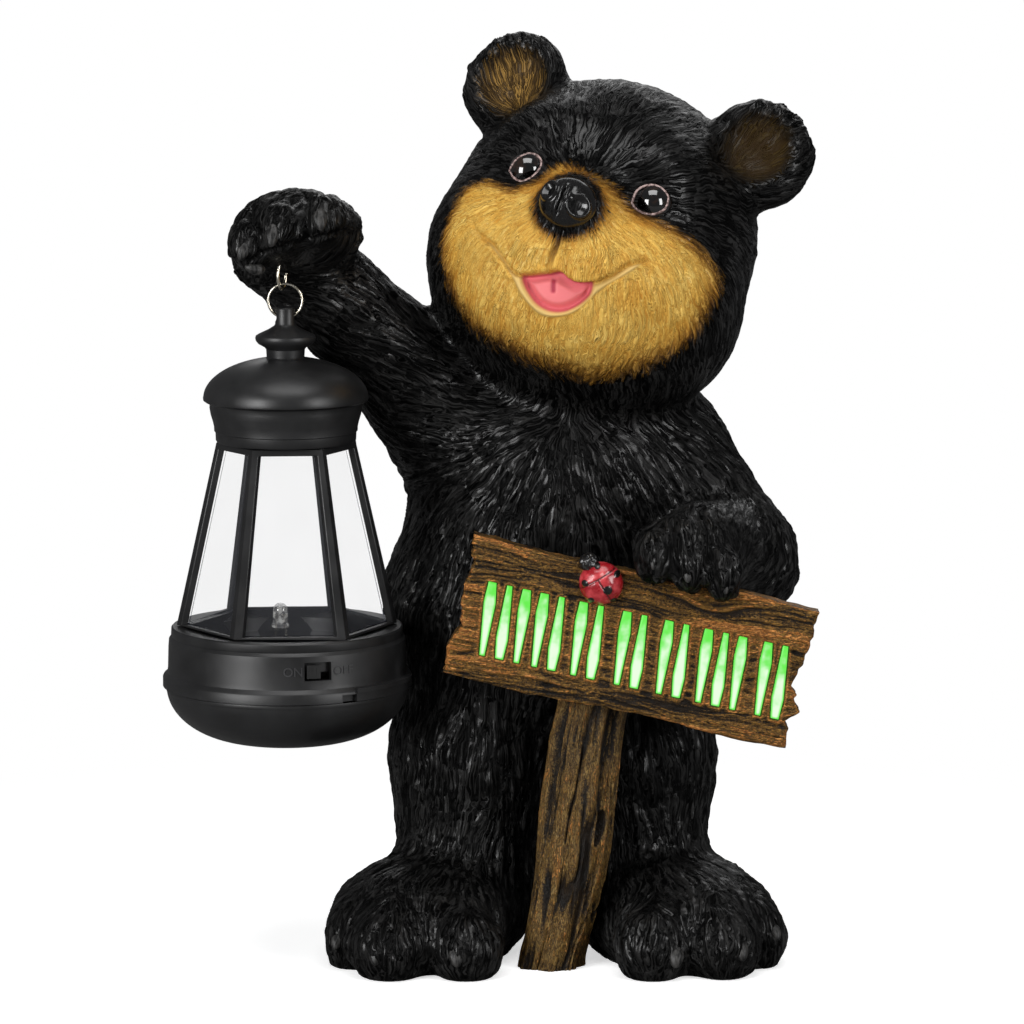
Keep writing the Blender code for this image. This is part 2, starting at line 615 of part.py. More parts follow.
def make_led(swing):
    """A 5 mm clear LED on a stem, standing in the tray."""
    foot, stem, flange, bulb, height = BASE_TOP_Z - TRAY_DEPTH + GAP, 2.0, 2.9, 2.5, 15
    dome = [(bulb * math.cos(a), foot + height - bulb * (1 - math.sin(a))) for a in np.radians((0, 30, 60))]
    profile = [(0, foot), (stem, foot), (stem, foot + 6.2), (flange, foot + 6.6), (flange, foot + 7.6),
               (bulb, foot + 7.8)] + dome + [(0, foot + height)]
    clear = material("led", (0.95, 0.97, 1), 0.05)
    place("lantern_led", turned(profile, 12), clear, LANTERN @ Matrix.Translation((LED_SHIFT, 0, 0)), swing)


# ------------------------------------------------------------------ the ring and its link
RING_FRAME = LANTERN @ Matrix.Translation((0, 0, SWING_Z + RING_RADIUS))
LINK_FRAME = (LANTERN @ Matrix.Translation((-1.0, 0, SWING_Z + 2 * RING_RADIUS + 2.9))
              @ Matrix.Rotation(math.radians(62), 4, "Z"))


def link_wire(margin=0.0):
    """The oval loop let into the paw, seen aslant."""
    return loop_wire(2.6, 0.55 + margin, 16, 6, 1.75)


def make_rings(bear):
    steel = material("steel", (0.8, 0.78, 0.72), 0.25, metallic=1.0)
    place("split_ring", loop_wire(RING_RADIUS, RING_WIRE, 20, 6), steel, RING_FRAME, bear, 70)
    place("hanging_link", link_wire(), steel, LINK_FRAME, bear, 70)


def main():
    clear_scene()
    bear = make_bear()
    board = make_sign()
    make_post()
    make_ladybug(board)
    make_rings(bear)
    plastic = material("black_plastic", (0.02, 0.02, 0.021), 0.35)
    swing = pivot("lantern_swing", (LANTERN_X, LANTERN_Y, SWING_Z))
    make_cap(plastic, swing)
    make_cage(plastic, swing)
    make_glazing(swing)
    make_base(plastic, swing)
    make_bowl(plastic, swing)
    make_led(swing)


main()
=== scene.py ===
"""The solar lantern bear, dressed: a black bear cub cast in resin, its fur carved and its
muzzle painted gold. It holds up a black plastic lantern on a split ring and rests its other
paw on a wooden-looking board, whose strokes glow green, on a branch."""
import math

import bmesh
import bpy
import numpy as np
from mathutils import Matrix, Vector


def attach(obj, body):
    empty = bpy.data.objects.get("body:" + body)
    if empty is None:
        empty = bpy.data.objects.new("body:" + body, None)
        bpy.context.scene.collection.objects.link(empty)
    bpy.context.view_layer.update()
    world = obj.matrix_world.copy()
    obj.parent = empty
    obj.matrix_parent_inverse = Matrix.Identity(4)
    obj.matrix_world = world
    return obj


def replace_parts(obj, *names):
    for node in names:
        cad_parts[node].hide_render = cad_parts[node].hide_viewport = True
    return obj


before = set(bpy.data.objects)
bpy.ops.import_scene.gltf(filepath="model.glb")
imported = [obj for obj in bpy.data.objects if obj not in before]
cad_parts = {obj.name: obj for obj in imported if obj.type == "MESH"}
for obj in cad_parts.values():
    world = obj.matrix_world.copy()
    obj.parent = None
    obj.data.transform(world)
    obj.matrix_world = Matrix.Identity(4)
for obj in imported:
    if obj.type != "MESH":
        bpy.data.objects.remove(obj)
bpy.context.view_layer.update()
MM = 0.001


# ---------------------------------------------------------------- the table and the lamps
# A pale sheet of paper under the figure, which fades into a white sweep, and wide soft boxes
# to the left, the right and above, as a small figure is lit on a maker's table.
AIM = Vector((0.007, 0.0, 0.146))
LOOK_DOWN, DISTANCE = math.radians(8.3), 1.8


def link(thing):
    bpy.context.scene.collection.objects.link(thing)
    return thing


def faced(thing, place):
    """Stands a lamp or the camera at a place and turns it to the figure."""
    thing.location = place
    thing.rotation_euler = (AIM - thing.location).to_track_quat("-Z", "Y").to_euler()


def soft_box(name, place, width, height, watts):
    """A rectangular lamp that faces the figure."""
    lamp = bpy.data.lights.new(name, "AREA")
    lamp.shape, lamp.size, lamp.size_y, lamp.energy = "RECTANGLE", width, height, watts
    faced(link(bpy.data.objects.new(name, lamp)), place)


camera = link(bpy.data.objects.new("camera", bpy.data.cameras.new("camera")))
camera.data.sensor_width, camera.data.lens = 36, 189.8
camera.data.clip_start, camera.data.clip_end = 0.05, 20
faced(camera, AIM + DISTANCE * Vector((0, -math.cos(LOOK_DOWN), math.sin(LOOK_DOWN))))
bpy.context.scene.camera = camera

soft_box("left_box", (-0.95, -1.1, 0.45), 0.6, 0.8, 17)
soft_box("right_box", (1.0, -0.95, 0.5), 0.4, 0.8, 9)
soft_box("top_box", (0.0, -0.35, 1.25), 0.8, 0.6, 6)
soft_box("back_box", (0.2, 1.1, 0.8), 1.0, 0.6, 3)

# The room's walls are white to look at and give only a dim, even light.
WALL_LIGHT = 0.12
room = bpy.data.worlds.new("room")
bpy.context.scene.world = room
room.use_nodes = True
parts = room.node_tree.nodes
parts["Background"].inputs["Color"].default_value = (0.97, 0.98, 1, 1)
parts["Background"].inputs["Strength"].default_value = WALL_LIGHT
seen = parts.new("ShaderNodeBackground")
seen.inputs["Color"].default_value = (1, 1, 1, 1)
which = parts.new("ShaderNodeMixShader")
for source, socket in ((parts.new("ShaderNodeLightPath").outputs["Is Camera Ray"], which.inputs[0]),
                       (parts["Background"].outputs[0], which.inputs[1]),
                       (seen.outputs[0], which.inputs[2]),
                       (which.outputs[0], parts["World Output"].inputs[0])):
    room.node_tree.links.new(source, socket)
bpy.context.scene.view_settings.view_transform = "Standard"


class Socket:
    """An output of a material's node tree. Arithmetic on it adds Math nodes."""

    def __init__(self, finish, output):
        self.finish, self.output = finish, output

    def maths(self, operation, *others):
        values = dict(enumerate((self,) + others))
        return self.finish.node("Math", {"operation": operation}, values)

    def __add__(self, other):
        return self.maths("ADD", other)

    def __sub__(self, other):
        return self.maths("SUBTRACT", other)

    def __rsub__(self, other):
        return (self * -1).maths("ADD", other)

    def __mul__(self, other):
        return self.maths("MULTIPLY", other)

    def __truediv__(self, other):
        return self.maths("DIVIDE", other)

    __radd__, __rmul__ = __add__, __mul__

    def low(self, other):
        return self.maths("MINIMUM", other)

    def high(self, other):
        return self.maths("MAXIMUM", other)

    def rise(self, start, end, low=0.0, high=1.0):
        """A soft step from low to high while the value goes from start to end."""
        values = {"Value": self, "From Min": start, "From Max": end, "To Min": low, "To Max": high}
        return self.finish.node("MapRange", {"interpolation_type": "SMOOTHSTEP"}, values)

    def blend(self, low, high, way="MIX"):
        """A colour between two, with this value as the share of the second."""
        values = {0: self, 6: low, 7: high}
        return self.finish.node("Mix", {"data_type": "RGBA", "blend_type": way}, values, 2)


class Finish:
    """A material whose nodes are made from Python expressions."""

    def __init__(self, name, **constants):
        self.material = bpy.data.materials.new(name)
        self.material.use_nodes = True
        self.tree = self.material.node_tree
        self.shader = self.tree.nodes["Principled BSDF"]
        self.feed(**constants)

    def plug(self, socket, value):
        if isinstance(value, Socket):
            self.tree.links.new(value.output, socket)
        elif isinstance(value, tuple) and len(value) == 3 and len(socket.default_value) == 4:
            socket.default_value = (*value, 1)
        else:
            socket.default_value = value

    def node(self, kind, settings=(), values=(), output=0):
        """One shader node: its settings are set first, then its sockets."""
        made = self.tree.nodes.new("ShaderNode" + kind)
        for key, setting in dict(settings).items():
            if key == "stops":
                while len(made.color_ramp.elements) < len(setting):
                    made.color_ramp.elements.new(1)
                for stop, (place, colour) in zip(made.color_ramp.elements, setting):
                    stop.position, stop.color = place, (*colour, 1)
            else:
                setattr(made, key, setting)
        for key, value in dict(values).items():
            self.plug(made.inputs[key], value)
        return Socket(self, made.outputs[output])

    def feed(self, **values):
        """Values or links for the shader, by socket name with underscores."""
        for key, value in values.items():
            self.plug(self.shader.inputs[key.replace("_", " ")], value)

    def place(self, scale=1000):
        """The object's own coordinates, in millimetres unless scaled otherwise."""
        point = self.node("TexCoord", output=3)
        return self.node("VectorMath", {"operation": "SCALE"}, {0: point, "Scale": scale})

    def stretched(self, vector, scales):
        """The vector with each axis scaled: below 1 draws a pattern out along it."""
        return self.node("VectorMath", {"operation": "MULTIPLY"}, {0: vector, 1: tuple(scales)})

    def mark(self, name, output=2):
        """A value that the mesh carries at each point."""
        return self.node("Attribute", {"attribute_name": name}, output=output)

    def noise(self, vector, scale, detail=2.0, roughness=0.5):
        """Soft noise from 0 to 1; scale is the number of cells in a millimetre."""
        return self.node("TexNoise", {}, {"Vector": vector, "Scale": scale, "Detail": detail,
                                          "Roughness": roughness})

    def ramp(self, value, *stops):
        """A colour by value, from (value, colour) stops."""
        return self.node("ValToRGB", {"stops": stops}, {0: value})

    def bump(self, height, depth):
        """Fine relief of a depth in millimetres."""
        return self.node("Bump", {}, {"Height": height, "Distance": depth * MM, "Strength": 1.0})


def cast(name, body, finish, mesh, smooth=None):
    """Adds a piece with its finish to a body; smooth is the angle of its sharp edges."""
    piece = link(bpy.data.objects.new(name, mesh))
    piece.data.materials.clear()
    piece.data.materials.append(finish.material)
    if smooth is not None:
        piece.data.shade_smooth()
        if smooth < 180:
            piece.data.set_sharp_from_angle(angle=math.radians(smooth))
    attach(piece, body)
    return piece


# The paper shows white and fades from the figure's shadow into the white sweep. It throws only
# a dim light back, so that the black coat stays black.
FADE_FROM, FADE_TO, SHEET_SIDES = 0.12, 0.34, 96
paper = Finish("white_paper", Base_Color=(0.93, 0.93, 0.93), Roughness=0.9, Emission_Color=(1, 1, 1),
               Emission_Strength=0.6)
away = paper.node("VectorMath", {"operation": "LENGTH"}, {0: paper.place(1)}, 1).rise(FADE_FROM, FADE_TO)
glow = paper.node("Emission", {}, {"Color": (1, 1, 1), "Strength": 1.0})
fading = paper.node("MixShader", {}, {0: away, 1: Socket(paper, paper.shader.outputs[0]), 2: glow})
dim = paper.node("BsdfDiffuse", {}, {"Color": (0.22, 0.22, 0.22)})
sweep = paper.node("MixShader", {}, {0: paper.node("LightPath"), 1: dim, 2: fading})
paper.tree.links.new(sweep.output, paper.tree.nodes["Material Output"].inputs[0])
sheet = bpy.data.meshes.new("floor")
rim = [(math.cos(a), math.sin(a), 0) for a in np.linspace(0, 2 * math.pi, SHEET_SIDES + 1)[:-1]]
sheet.from_pydata(rim, [], [tuple(range(SHEET_SIDES))])
sheet.materials.append(paper.material)
floor = link(bpy.data.objects.new("floor", sheet))

# ---------------------------------------------------------------- the bear: its form
# The cub is one hollow resin casting with its ears, paws and tail. Its skin is the same
# blend of round forms as the solid, here sampled finely enough to carve the fur into, and
# most finely at the face. Sizes are in millimetres.
def turn(x=0, y=0, z=0):
    """Rotation matrix that turns about X, then Z, then Y, in degrees."""
    about = [Matrix.Rotation(math.radians(a), 3, axis) for a, axis in ((y, "Y"), (z, "Z"), (x, "X"))]
    return np.array(about[0] @ about[1] @ about[2])


HEAD_CENTRE = np.array((35.5, 8, 235))
HEAD_TURN = turn(-17, 14.5, -15.5)
LEGS = (-6.5, 47.5)
EYES = ((-20.9, 8.9), (22.3, 10.1))
EYE_RADIUS = 6.3
TOES = ((-8, -51, 12.5), (-33, -50, 13.5), (-46, -36, 9), (53, -51, 12.5), (76, -49, 12), (88, -35, 9.5))
TOE_HEIGHT = 9
RAISED_FINGERS, RAISED_FINGER = ((-77.5, -32, 238), (-68, -35, 243), (-55, -34, 246)), (8.5, 8.5, 9)
LOW_FINGERS, LOW_FINGER = ((53, -56, 139), (64, -56, 136.5), (75, -56, 133.5)), (6.5, 7, 8.5)


class Ball:
    """An ellipsoid form: a centre, three radii and a rotation."""

    def __init__(self, centre, radii, rotation=np.identity(3)):
        self.middle = np.array(centre, float)
        self.radii = np.array(radii, float)
        self.rotation = rotation
        self.reach = max(radii)

    def distance(self, points):
        local = (points - self.middle) @ self.rotation
        length = np.linalg.norm(local / self.radii, axis=1)
        slope = np.linalg.norm(local / self.radii ** 2, axis=1)
        return length * (length - 1) / np.maximum(slope, 1e-6)

    def add_to(self, mesh):
        shape = (Matrix.Translation(self.middle) @ Matrix(self.rotation).to_4x4()
                 @ Matrix.Diagonal((*self.radii, 1)))
        bmesh.ops.create_uvsphere(mesh, u_segments=24, v_segments=14, radius=1, matrix=shape)


class Limb:
    """A tapered limb with round ends."""

    def __init__(self, start, end, start_radius, end_radius):
        self.start, self.end = np.array(start, float), np.array(end, float)
        self.start_radius, self.end_radius = start_radius, end_radius
        self.middle = (self.start + self.end) / 2
        self.reach = np.linalg.norm(self.end - self.middle) + max(start_radius, end_radius)

    def distance(self, points):
        along = self.end - self.start
        share = np.clip((points - self.start) @ along / (along @ along), 0, 1)
        radius = self.start_radius + share * (self.end_radius - self.start_radius)
        return np.linalg.norm(points - self.start - share[:, None] * along, axis=1) - radius

    def add_to(self, mesh):
        for share in np.linspace(0, 1, 5):
            radius = self.start_radius + share * (self.end_radius - self.start_radius)
            Ball(self.start + share * (self.end - self.start), (radius,) * 3).add_to(mesh)


class Floor:
    """Everything under the floor."""
    middle, reach = np.zeros(3), 1e3

    def distance(self, points):
        return points[:, 2]


def on_head(x, y, z):
    return HEAD_CENTRE + HEAD_TURN @ (x, y, z)


def head_ball(centre, radii, yaw=0):
    return Ball(on_head(*centre), radii, HEAD_TURN @ turn(z=yaw))


def skin_depth(points, forms):
    """Signed distance from points near the skin to the blended forms; inside is negative."""
    depth = np.full(len(points), 99.0)
    for operation, form, softness in forms:
        away = points - form.middle
        near = np.flatnonzero(np.einsum("ij,ij->i", away, away) < (form.reach + softness + 12) ** 2)
        old, other, soft = depth[near], form.distance(points[near]), max(softness, 1e-3)
        if operation == "add":
            share = np.clip(0.5 + 0.5 * (old - other) / soft, 0, 1)
            depth[near] = old + share * (other - old) - soft * share * (1 - share)
        else:
            share = np.clip(0.5 - 0.5 * (old + other) / soft, 0, 1)
            depth[near] = old + share * (-other - old) + soft * share * (1 - share)
    return depth


def face_depth(x, z, forms, sink=0.0):
    """A point of the face in front of (x, z) on the head, sunk into it by some millimetres."""
    line = np.linspace(-80, 0, 801)
    depths = skin_depth(np.array([on_head(x, y, z) for y in line]), forms)
    return np.array((x, line[np.argmax(depths < 0)] + sink, z))


def toe_ball(x, y, radius):
    return Ball((x, y, TOE_HEIGHT), (radius, radius + 2, 13))


def trunk_forms():
    steps = [("add", Ball((25, 16, 158), (52, 39, 42)), 0),
             ("add", Ball((22, 16, 112), (58.5, 41, 50)), 16),
             ("add", Ball((20, 53, 78), (11, 16.4, 10)), 8)]                  # the tail
    for side, leg in zip((-1, 1), LEGS):
        steps += [("add", Ball((leg, 13, 66), (27, 31, 38)), 10),
                  ("add", Limb((leg, 10, 60), (leg + side * 1.5, 4, 18), 26, 24), 8),
                  ("add", Ball((leg + side * 15, -15, 11), (31.5, 45, 21.5), turn(z=side * 14)), 7)]
    return steps + [("add", toe_ball(*toe), 3) for toe in TOES]


def arm_forms():
    steps = [("add", Limb((-12, 13, 174), (-37, 6, 202), 24, 17.8), 8),
             ("add", Limb((-37, 6, 202), (-57, -3, 223), 17.8, 17), 4),
             ("add", Ball((-63, -18, 241), (21, 19, 14.5)), 5),
             ("add", Ball((-65, -7, 231), (20, 14, 14)), 4)]
    steps += [("add", Ball(place, RAISED_FINGER), 3) for place in RAISED_FINGERS]
    steps += [("add", Limb((53, 13, 163), (80, -3, 132), 26.5, 20.5), 8),
              ("add", Limb((80, -3, 132), (69, -38, 140), 20.5, 15), 5),
              ("add", Ball((85, -8, 127), (15.5, 14, 14)), 6),
              ("add", Ball((63, -47, 141), (16, 13, 11)), 4)]
    steps += [("add", Ball(place, LOW_FINGER), 2.5) for place in LOW_FINGERS]
    return steps


def head_forms():
    """The skull, cheeks, ears and muzzle, with beds for the eyes and the nose."""
    steps = [("add", head_ball((0, 2, 3), (52, 46, 53)), 4),
             ("add", head_ball((3, -2, -20), (51.5, 39, 37)), 8)]
    for side in (-1, 1):
        steps += [("add", head_ball((side * 21, -12, -13), (30, 32, 28)), 10),
                  ("add", head_ball((side * 43.2, -4, 43 - side * 0.3), (18.2, 10.5, 18.6), side * 12), 5),
                  ("cut", head_ball((side * 43.6, -17, 44 - side * 0.3), (13.5, 12, 14), side * 8), 3),
                  ("add", head_ball((side * 17, -29, 22), (14, 10, 10)), 14)]
    return steps + [("add", head_ball((0, -30, -17), (33, 25, 24)), 14),
                    ("add", head_ball((0, -32, -33), (25, 19, 15)), 12),
                    ("add", Limb(on_head(0, -32, 8), on_head(0, -51, -2), 12, 10.5), 10)]


PLAIN_FACE = head_forms()
EYE_CENTRES = [face_depth(x, z, PLAIN_FACE, 3.6) for x, z in EYES]
MUZZLE = [("add", head_ball((side * 9, -45, -17), (12, 13, 10.3)), 3) for side in (-1, 1)]
EYE_BEDS = [("add", head_ball(eye, (EYE_RADIUS - 0.3,) * 3), 0.5) for eye in EYE_CENTRES]
SKIN = trunk_forms() + arm_forms() + PLAIN_FACE + MUZZLE + EYE_BEDS
SKIN += [("add", head_ball((0, -57, -2), (8, 6, 7.7)), 1), ("cut", Floor(), 0.5)]
SMALL = 0.05


def draw_to_skin(points, rounds):
    """Moves points along the field's slope until they lie on the skin."""
    for _ in range(rounds):
        depth = skin_depth(points, SKIN)
        slope = [(skin_depth(points + step, SKIN) - depth) / SMALL for step in np.identity(3) * SMALL]
        slope = np.stack(slope, axis=1)
        size = np.maximum(np.sum(slope ** 2, axis=1), 0.2)
        points = points - np.clip(depth / size, -3, 3)[:, None] * slope
    return points


def read_vectors(sequence, key):
    """A vector of each vertex or face, as rows."""
    flat = np.empty(len(sequence) * 3, np.float32)
    sequence.foreach_get(key, flat)
    return flat.reshape(-1, 3).astype(float)


def write_points(mesh, points):
    mesh.vertices.foreach_set("co", points.astype(np.float32).ravel())
    mesh.update()


def remeshed(mesh, voxel):
    """A new mesh of even quads around the old one."""
    lump = link(bpy.data.objects.new("lump", mesh))
    lump.modifiers.new("even", "REMESH").voxel_size = voxel
    bpy.context.view_layer.update()
    result = bpy.data.meshes.new_from_object(lump.evaluated_get(bpy.context.evaluated_depsgraph_get()))
    bpy.data.objects.remove(lump)
    return result


def finer(mesh, wanted):
    """Cuts the wanted faces (an array of True and False) in four."""
    work = bmesh.new()
    work.from_mesh(mesh)
    work.faces.ensure_lookup_table()
    edges = {edge for index in np.flatnonzero(wanted) for edge in work.faces[index].edges}
    bmesh.ops.subdivide_edges(work, edges=list(edges), cuts=1, use_grid_fill=True)
    work.to_mesh(mesh)
    work.free()


rough = bmesh.new()
for operation, form, _ in SKIN:
    if operation == "add":
        form.add_to(rough)
skin = bpy.data.meshes.new("skin")
rough.to_mesh(skin)
rough.free()
COARSE = 2.4
for voxel, rounds in ((3.2, 5), (COARSE, 4)):
    skin = remeshed(skin, voxel)
    write_points(skin, draw_to_skin(read_vectors(skin.vertices, "co"), rounds))
FORWARD, SEEN_FROM = np.array((0, -0.99, 0.14)), 0.08
finer(skin, np.ones(len(skin.polygons), bool))
write_points(skin, draw_to_skin(read_vectors(skin.vertices, "co"), 1))
finer(skin, read_vectors(skin.polygons, "normal") @ FORWARD > SEEN_FROM)


def in_face(places):
    """Which places lie in the gold patch or around the eyes and the nose."""
    x, y, z = ((places - HEAD_CENTRE) @ HEAD_TURN).T
    return (np.hypot((x - 2) / 36, (z + 14) / 28) < 1) & (y < -18)


finer(skin, in_face(read_vectors(skin.polygons, "center")))
write_points(skin, draw_to_skin(read_vectors(skin.vertices, "co"), 1))

# ---------------------------------------------------------------- the bear: its carved fur
# The coat is modelled in the clay as wavy locks and strands that run out of the face, down
# the chest in a fan and along the arms to the paws, and is cast with the body. A gold patch
# with a smile is carved and sprayed around the muzzle.
SEED, NOISE_SIDE = 7, 32
NOISE_TABLE = np.random.default_rng(SEED).random(NOISE_SIDE ** 3).astype(np.float32) * 2 - 1


def soft_noise(points):
    """Smooth noise from -1 to 1 with a cell of one unit."""
    base = np.floor(points)
    share = (points - base).astype(np.float32)
    share = share * share * (3 - 2 * share)
    low = base.astype(np.int64) & (NOISE_SIDE - 1)
    high = (low + 1) & (NOISE_SIDE - 1)
    sides = [(low[:, axis] * NOISE_SIDE ** (2 - axis), high[:, axis] * NOISE_SIDE ** (2 - axis))
             for axis in range(3)]
    total = 0
    for corner in range(8):
        picks = (corner >> 2 & 1, corner >> 1 & 1, corner & 1)
        weight = 1
        for axis, pick in enumerate(picks):
            weight = weight * (share[:, axis] if pick else 1 - share[:, axis])
        total = total + weight * NOISE_TABLE[sides[0][picks[0]] + sides[1][picks[1]] + sides[2][picks[2]]]
    return total


def unit(vectors):
    return vectors / np.maximum(np.linalg.norm(vectors, axis=1), 1e-6)[:, None]


def head_way(x, y, z):
    return HEAD_TURN @ (x, y, z)


# Each form of the body, the point that its fur runs away from and the drift that is added.
COAT = [(head_ball((0, 2, 8), (50, 44, 50)), on_head(0, -52, 2), head_way(0, 0.2, -0.05)),
        (head_ball((3, -2, -22), (50, 38, 36)), on_head(0, -52, 0), head_way(0, 0.1, -0.75)),
        (Ball((25, 16, 160), (54, 41, 36)), (25, -30, 186), (0, 0, -0.25)),
        (Ball((22, 16, 112), (58.5, 41, 50)), (24, -20, 205), (0, 0, -0.35)),
        (Ball((20, 53, 78), (11, 16.4, 10)), (20, 38, 84), (0, 0, 0)),
        (Limb((-12, 13, 174), (-37, 6, 202), 24, 18), (20, 0, 150), (-0.45, -0.1, -0.2)),
        (Limb((-37, 6, 202), (-57, -3, 223), 18, 17), (20, 0, 160), (-0.4, 0, 0)),
        (Ball((-63, -18, 241), (21, 19, 14.5)), (-48, 4, 262), (-0.25, -0.6, -0.6)),
        (Limb((53, 13, 163), (80, -3, 132), 26.5, 20.5), (30, 4, 205), (0.1, 0, -0.3)),
        (Limb((80, -3, 132), (69, -38, 140), 20.5, 15), (92, 10, 150), (-0.1, -0.7, -0.4)),
        (Ball((63, -47, 141), (16, 13, 11)), (66, -40, 160), (0, -0.2, -0.5))]
for side, leg in zip((-1, 1), LEGS):
    ear = (side * 34, -5, 28)
    COAT += [(head_ball((side * 43.2, -4, 43), (19, 11.5, 19)), on_head(*ear), (0, 0, 0)),
             (Limb((leg, 13, 80), (leg + side * 1.5, 4, 34), 29, 25), (20, 30, 190), (0, 0, -0.6)),
             (Ball((leg + side * 14, -12, 12), (32, 44, 21)), (leg - side * 4, 8, 40),
              (side * 0.1, -0.15, -0.35))]

# Toes and fingers: their own fur parts over the middle of each and runs down to both sides.
DIGITS = [(toe_ball(x, y, radius), (x, y + 2, 27), (0, -0.1, -0.5)) for x, y, radius in TOES]
for places, radii, above, drift in ((RAISED_FINGERS, RAISED_FINGER, (2, 6, 15), (0, -0.1, -0.6)),
                                    (LOW_FINGERS, LOW_FINGER, (0, 4, 13), (0, -0.1, -0.5))):
    DIGITS += [(Ball(place, radii), np.array(place) + above, drift) for place in places]
COAT_PULL, DIGIT_PULL, REACH, WANDER, WANDER_CELL = 1, 4, 3.5, 0.3, 9.5
GRID_STEP = 2.5
GRID_START = np.array((-112, -75, -5))
GRID_SIZE = (90, 61, 126)


def coat_ways(points):
    """The way the fur lies at any points, before it is laid flat on the skin."""
    total = np.zeros((len(points), 3), np.float32)
    for pull, ways in ((COAT_PULL, COAT), (DIGIT_PULL, DIGITS)):
        for form, source, drift in ways:
            weight = pull * np.exp(-np.maximum(form.distance(points), -5) / REACH)
            total += weight[:, None] * unit(unit(points - np.array(source)) + np.array(drift))
    for axis, shift in enumerate((3.3, 11.7, 20.1)):
        sway = soft_noise(points / WANDER_CELL + shift)
        total[:, axis] += WANDER * np.linalg.norm(total, axis=1) * sway
    return unit(total)


corners = np.stack(np.meshgrid(*[np.arange(count) for count in GRID_SIZE], indexing="ij"), axis=-1)
lie_grid = coat_ways(corners.reshape(-1, 3) * GRID_STEP + GRID_START).astype(np.float32)


def lie_of_fur(points, normals):
    """Unit vectors along the fur, in the plane of the skin."""
    cell = np.clip(np.rint((points - GRID_START) / GRID_STEP).astype(int), 0, np.array(GRID_SIZE) - 1)
    ways = lie_grid[(cell[:, 0] * GRID_SIZE[1] + cell[:, 1]) * GRID_SIZE[2] + cell[:, 2]]
    return unit(ways - np.sum(ways * normals, axis=1)[:, None] * normals)


LOCK, STRAND, HAIR, SPREAD = (3.6, 16), (1.8, 14), (0.8, 7), 2.2


def strands(points, normals, width, length, steps=9):
    """Noise drawn out along the fur: ridges of a width and a length, near -1 to 1."""
    total = 0
    for way in (1, -1):
        at = points.copy()
        for step in range(steps):
            at += way * length / (2 * steps) * lie_of_fur(at, normals)
            total = total + (1 - step / steps) * soft_noise(at / width + 40 * width)
    return total / (SPREAD * np.std(total))


def beside(x, z, line):
    """Distance from points of the face to a line through the given (x, z) pairs."""
    best = np.full(len(x), 1e3)
    for (x1, z1), (x2, z2) in zip(line, line[1:]):
        along, down = x2 - x1, z2 - z1
        share = np.clip(((x - x1) * along + (z - z1) * down) / (along ** 2 + down ** 2), 0, 1)
        best = np.minimum(best, np.hypot(x - x1 - share * along, z - z1 - share * down))
    return best


def within(x, z, outline):
    """Signed distance to a closed outline, positive inside."""
    inside = np.zeros(len(x), bool)
    for (x1, z1), (x2, z2) in zip(outline, outline[1:] + outline[:1]):
        if z1 != z2:
            inside ^= ((z1 > z) != (z2 > z)) & (x < (x2 - x1) * (z - z1) / (z2 - z1) + x1)
    return np.where(inside, 1, -1) * beside(x, z, outline + outline[:1])


def step_up(value, start, end):
    share = np.clip((value - start) / (end - start), 0, 1)
    return share * share * (3 - 2 * share)


def smooth_line(points, parts=5):
    """A rounder line through the given points."""
    ring = np.array([points[0]] + list(points) + [points[-1]], float)
    out = []
    for a, b, c, d in zip(ring, ring[1:], ring[2:], ring[3:]):
        for t in np.arange(parts) / parts:
            out.append(tuple(0.5 * (2 * b + (c - a) * t + (2 * a - 5 * b + 4 * c - d) * t ** 2
                                    + (3 * b - a - 3 * c + d) * t ** 3)))
    return out + [tuple(ring[-1])]


UPPER_LIP = smooth_line([(-36, -8), (-33, -12), (-28.3, -17.2), (-20.3, -20.6), (-10.9, -27.6),
                         (-6.2, -27.6), (-0.7, -25.6), (3.9, -24), (7.3, -25.3), (10.8, -25.7),
                         (15.6, -24), (19.7, -20.5), (24.3, -14), (28.5, -11.2)])
LOWER_LIP = smooth_line([(-28.3, -17.6), (-19.5, -22.9), (-11.2, -29.4), (-6.8, -34), (-1.2, -37.7),
                         (3.1, -38.8), (7.8, -37.7), (12.8, -34.5), (16.5, -28.6), (20, -23.2),
                         (24.9, -17.3), (28.5, -11.7)])
INNER_LIP = smooth_line([(-8.2, -28.2), (-6.8, -30.4), (-4.4, -33), (-0.3, -35.9), (4.6, -36.8),
                         (9.2, -35.4), (13, -32), (15.4, -28), (15.8, -24.8)])
LIPS = UPPER_LIP[10:] + LOWER_LIP[::-1]
OPENING = [point for point in UPPER_LIP if INNER_LIP[0][0] < point[0] < INNER_LIP[-1][0]]
OPENING += INNER_LIP[::-1]
PHILTRUM = [(0.4, -8), (0.7, -15.2), (0.4, -20), (0.4, -25.6)]
GOLD = smooth_line([(0.5, 11), (10.2, 9.7), (17, 5.2), (22.1, 3.8), (34.1, 3.1), (47.2, -3.8),
                    (49.1, -12.9), (46, -26.7), (36.4, -38.2), (19.9, -48.6), (-2.4, -49.9),
                    (-24.7, -43.6), (-37.8, -29.9), (-41.6, -17.1), (-39.3, -1.4), (-30.5, 2),
                    (-22.2, 0.5), (-14, 6), (-8.8, 12), (0.5, 11)])[:-1]
TONGUE_CREASE = [(2.8, -27.0), (3.1, -28.6), (3.6, -30.2)]
EAR_CUP, EAR_CUP_HALF, FAR = (43.5, 43.5), (13, 13.5), 12

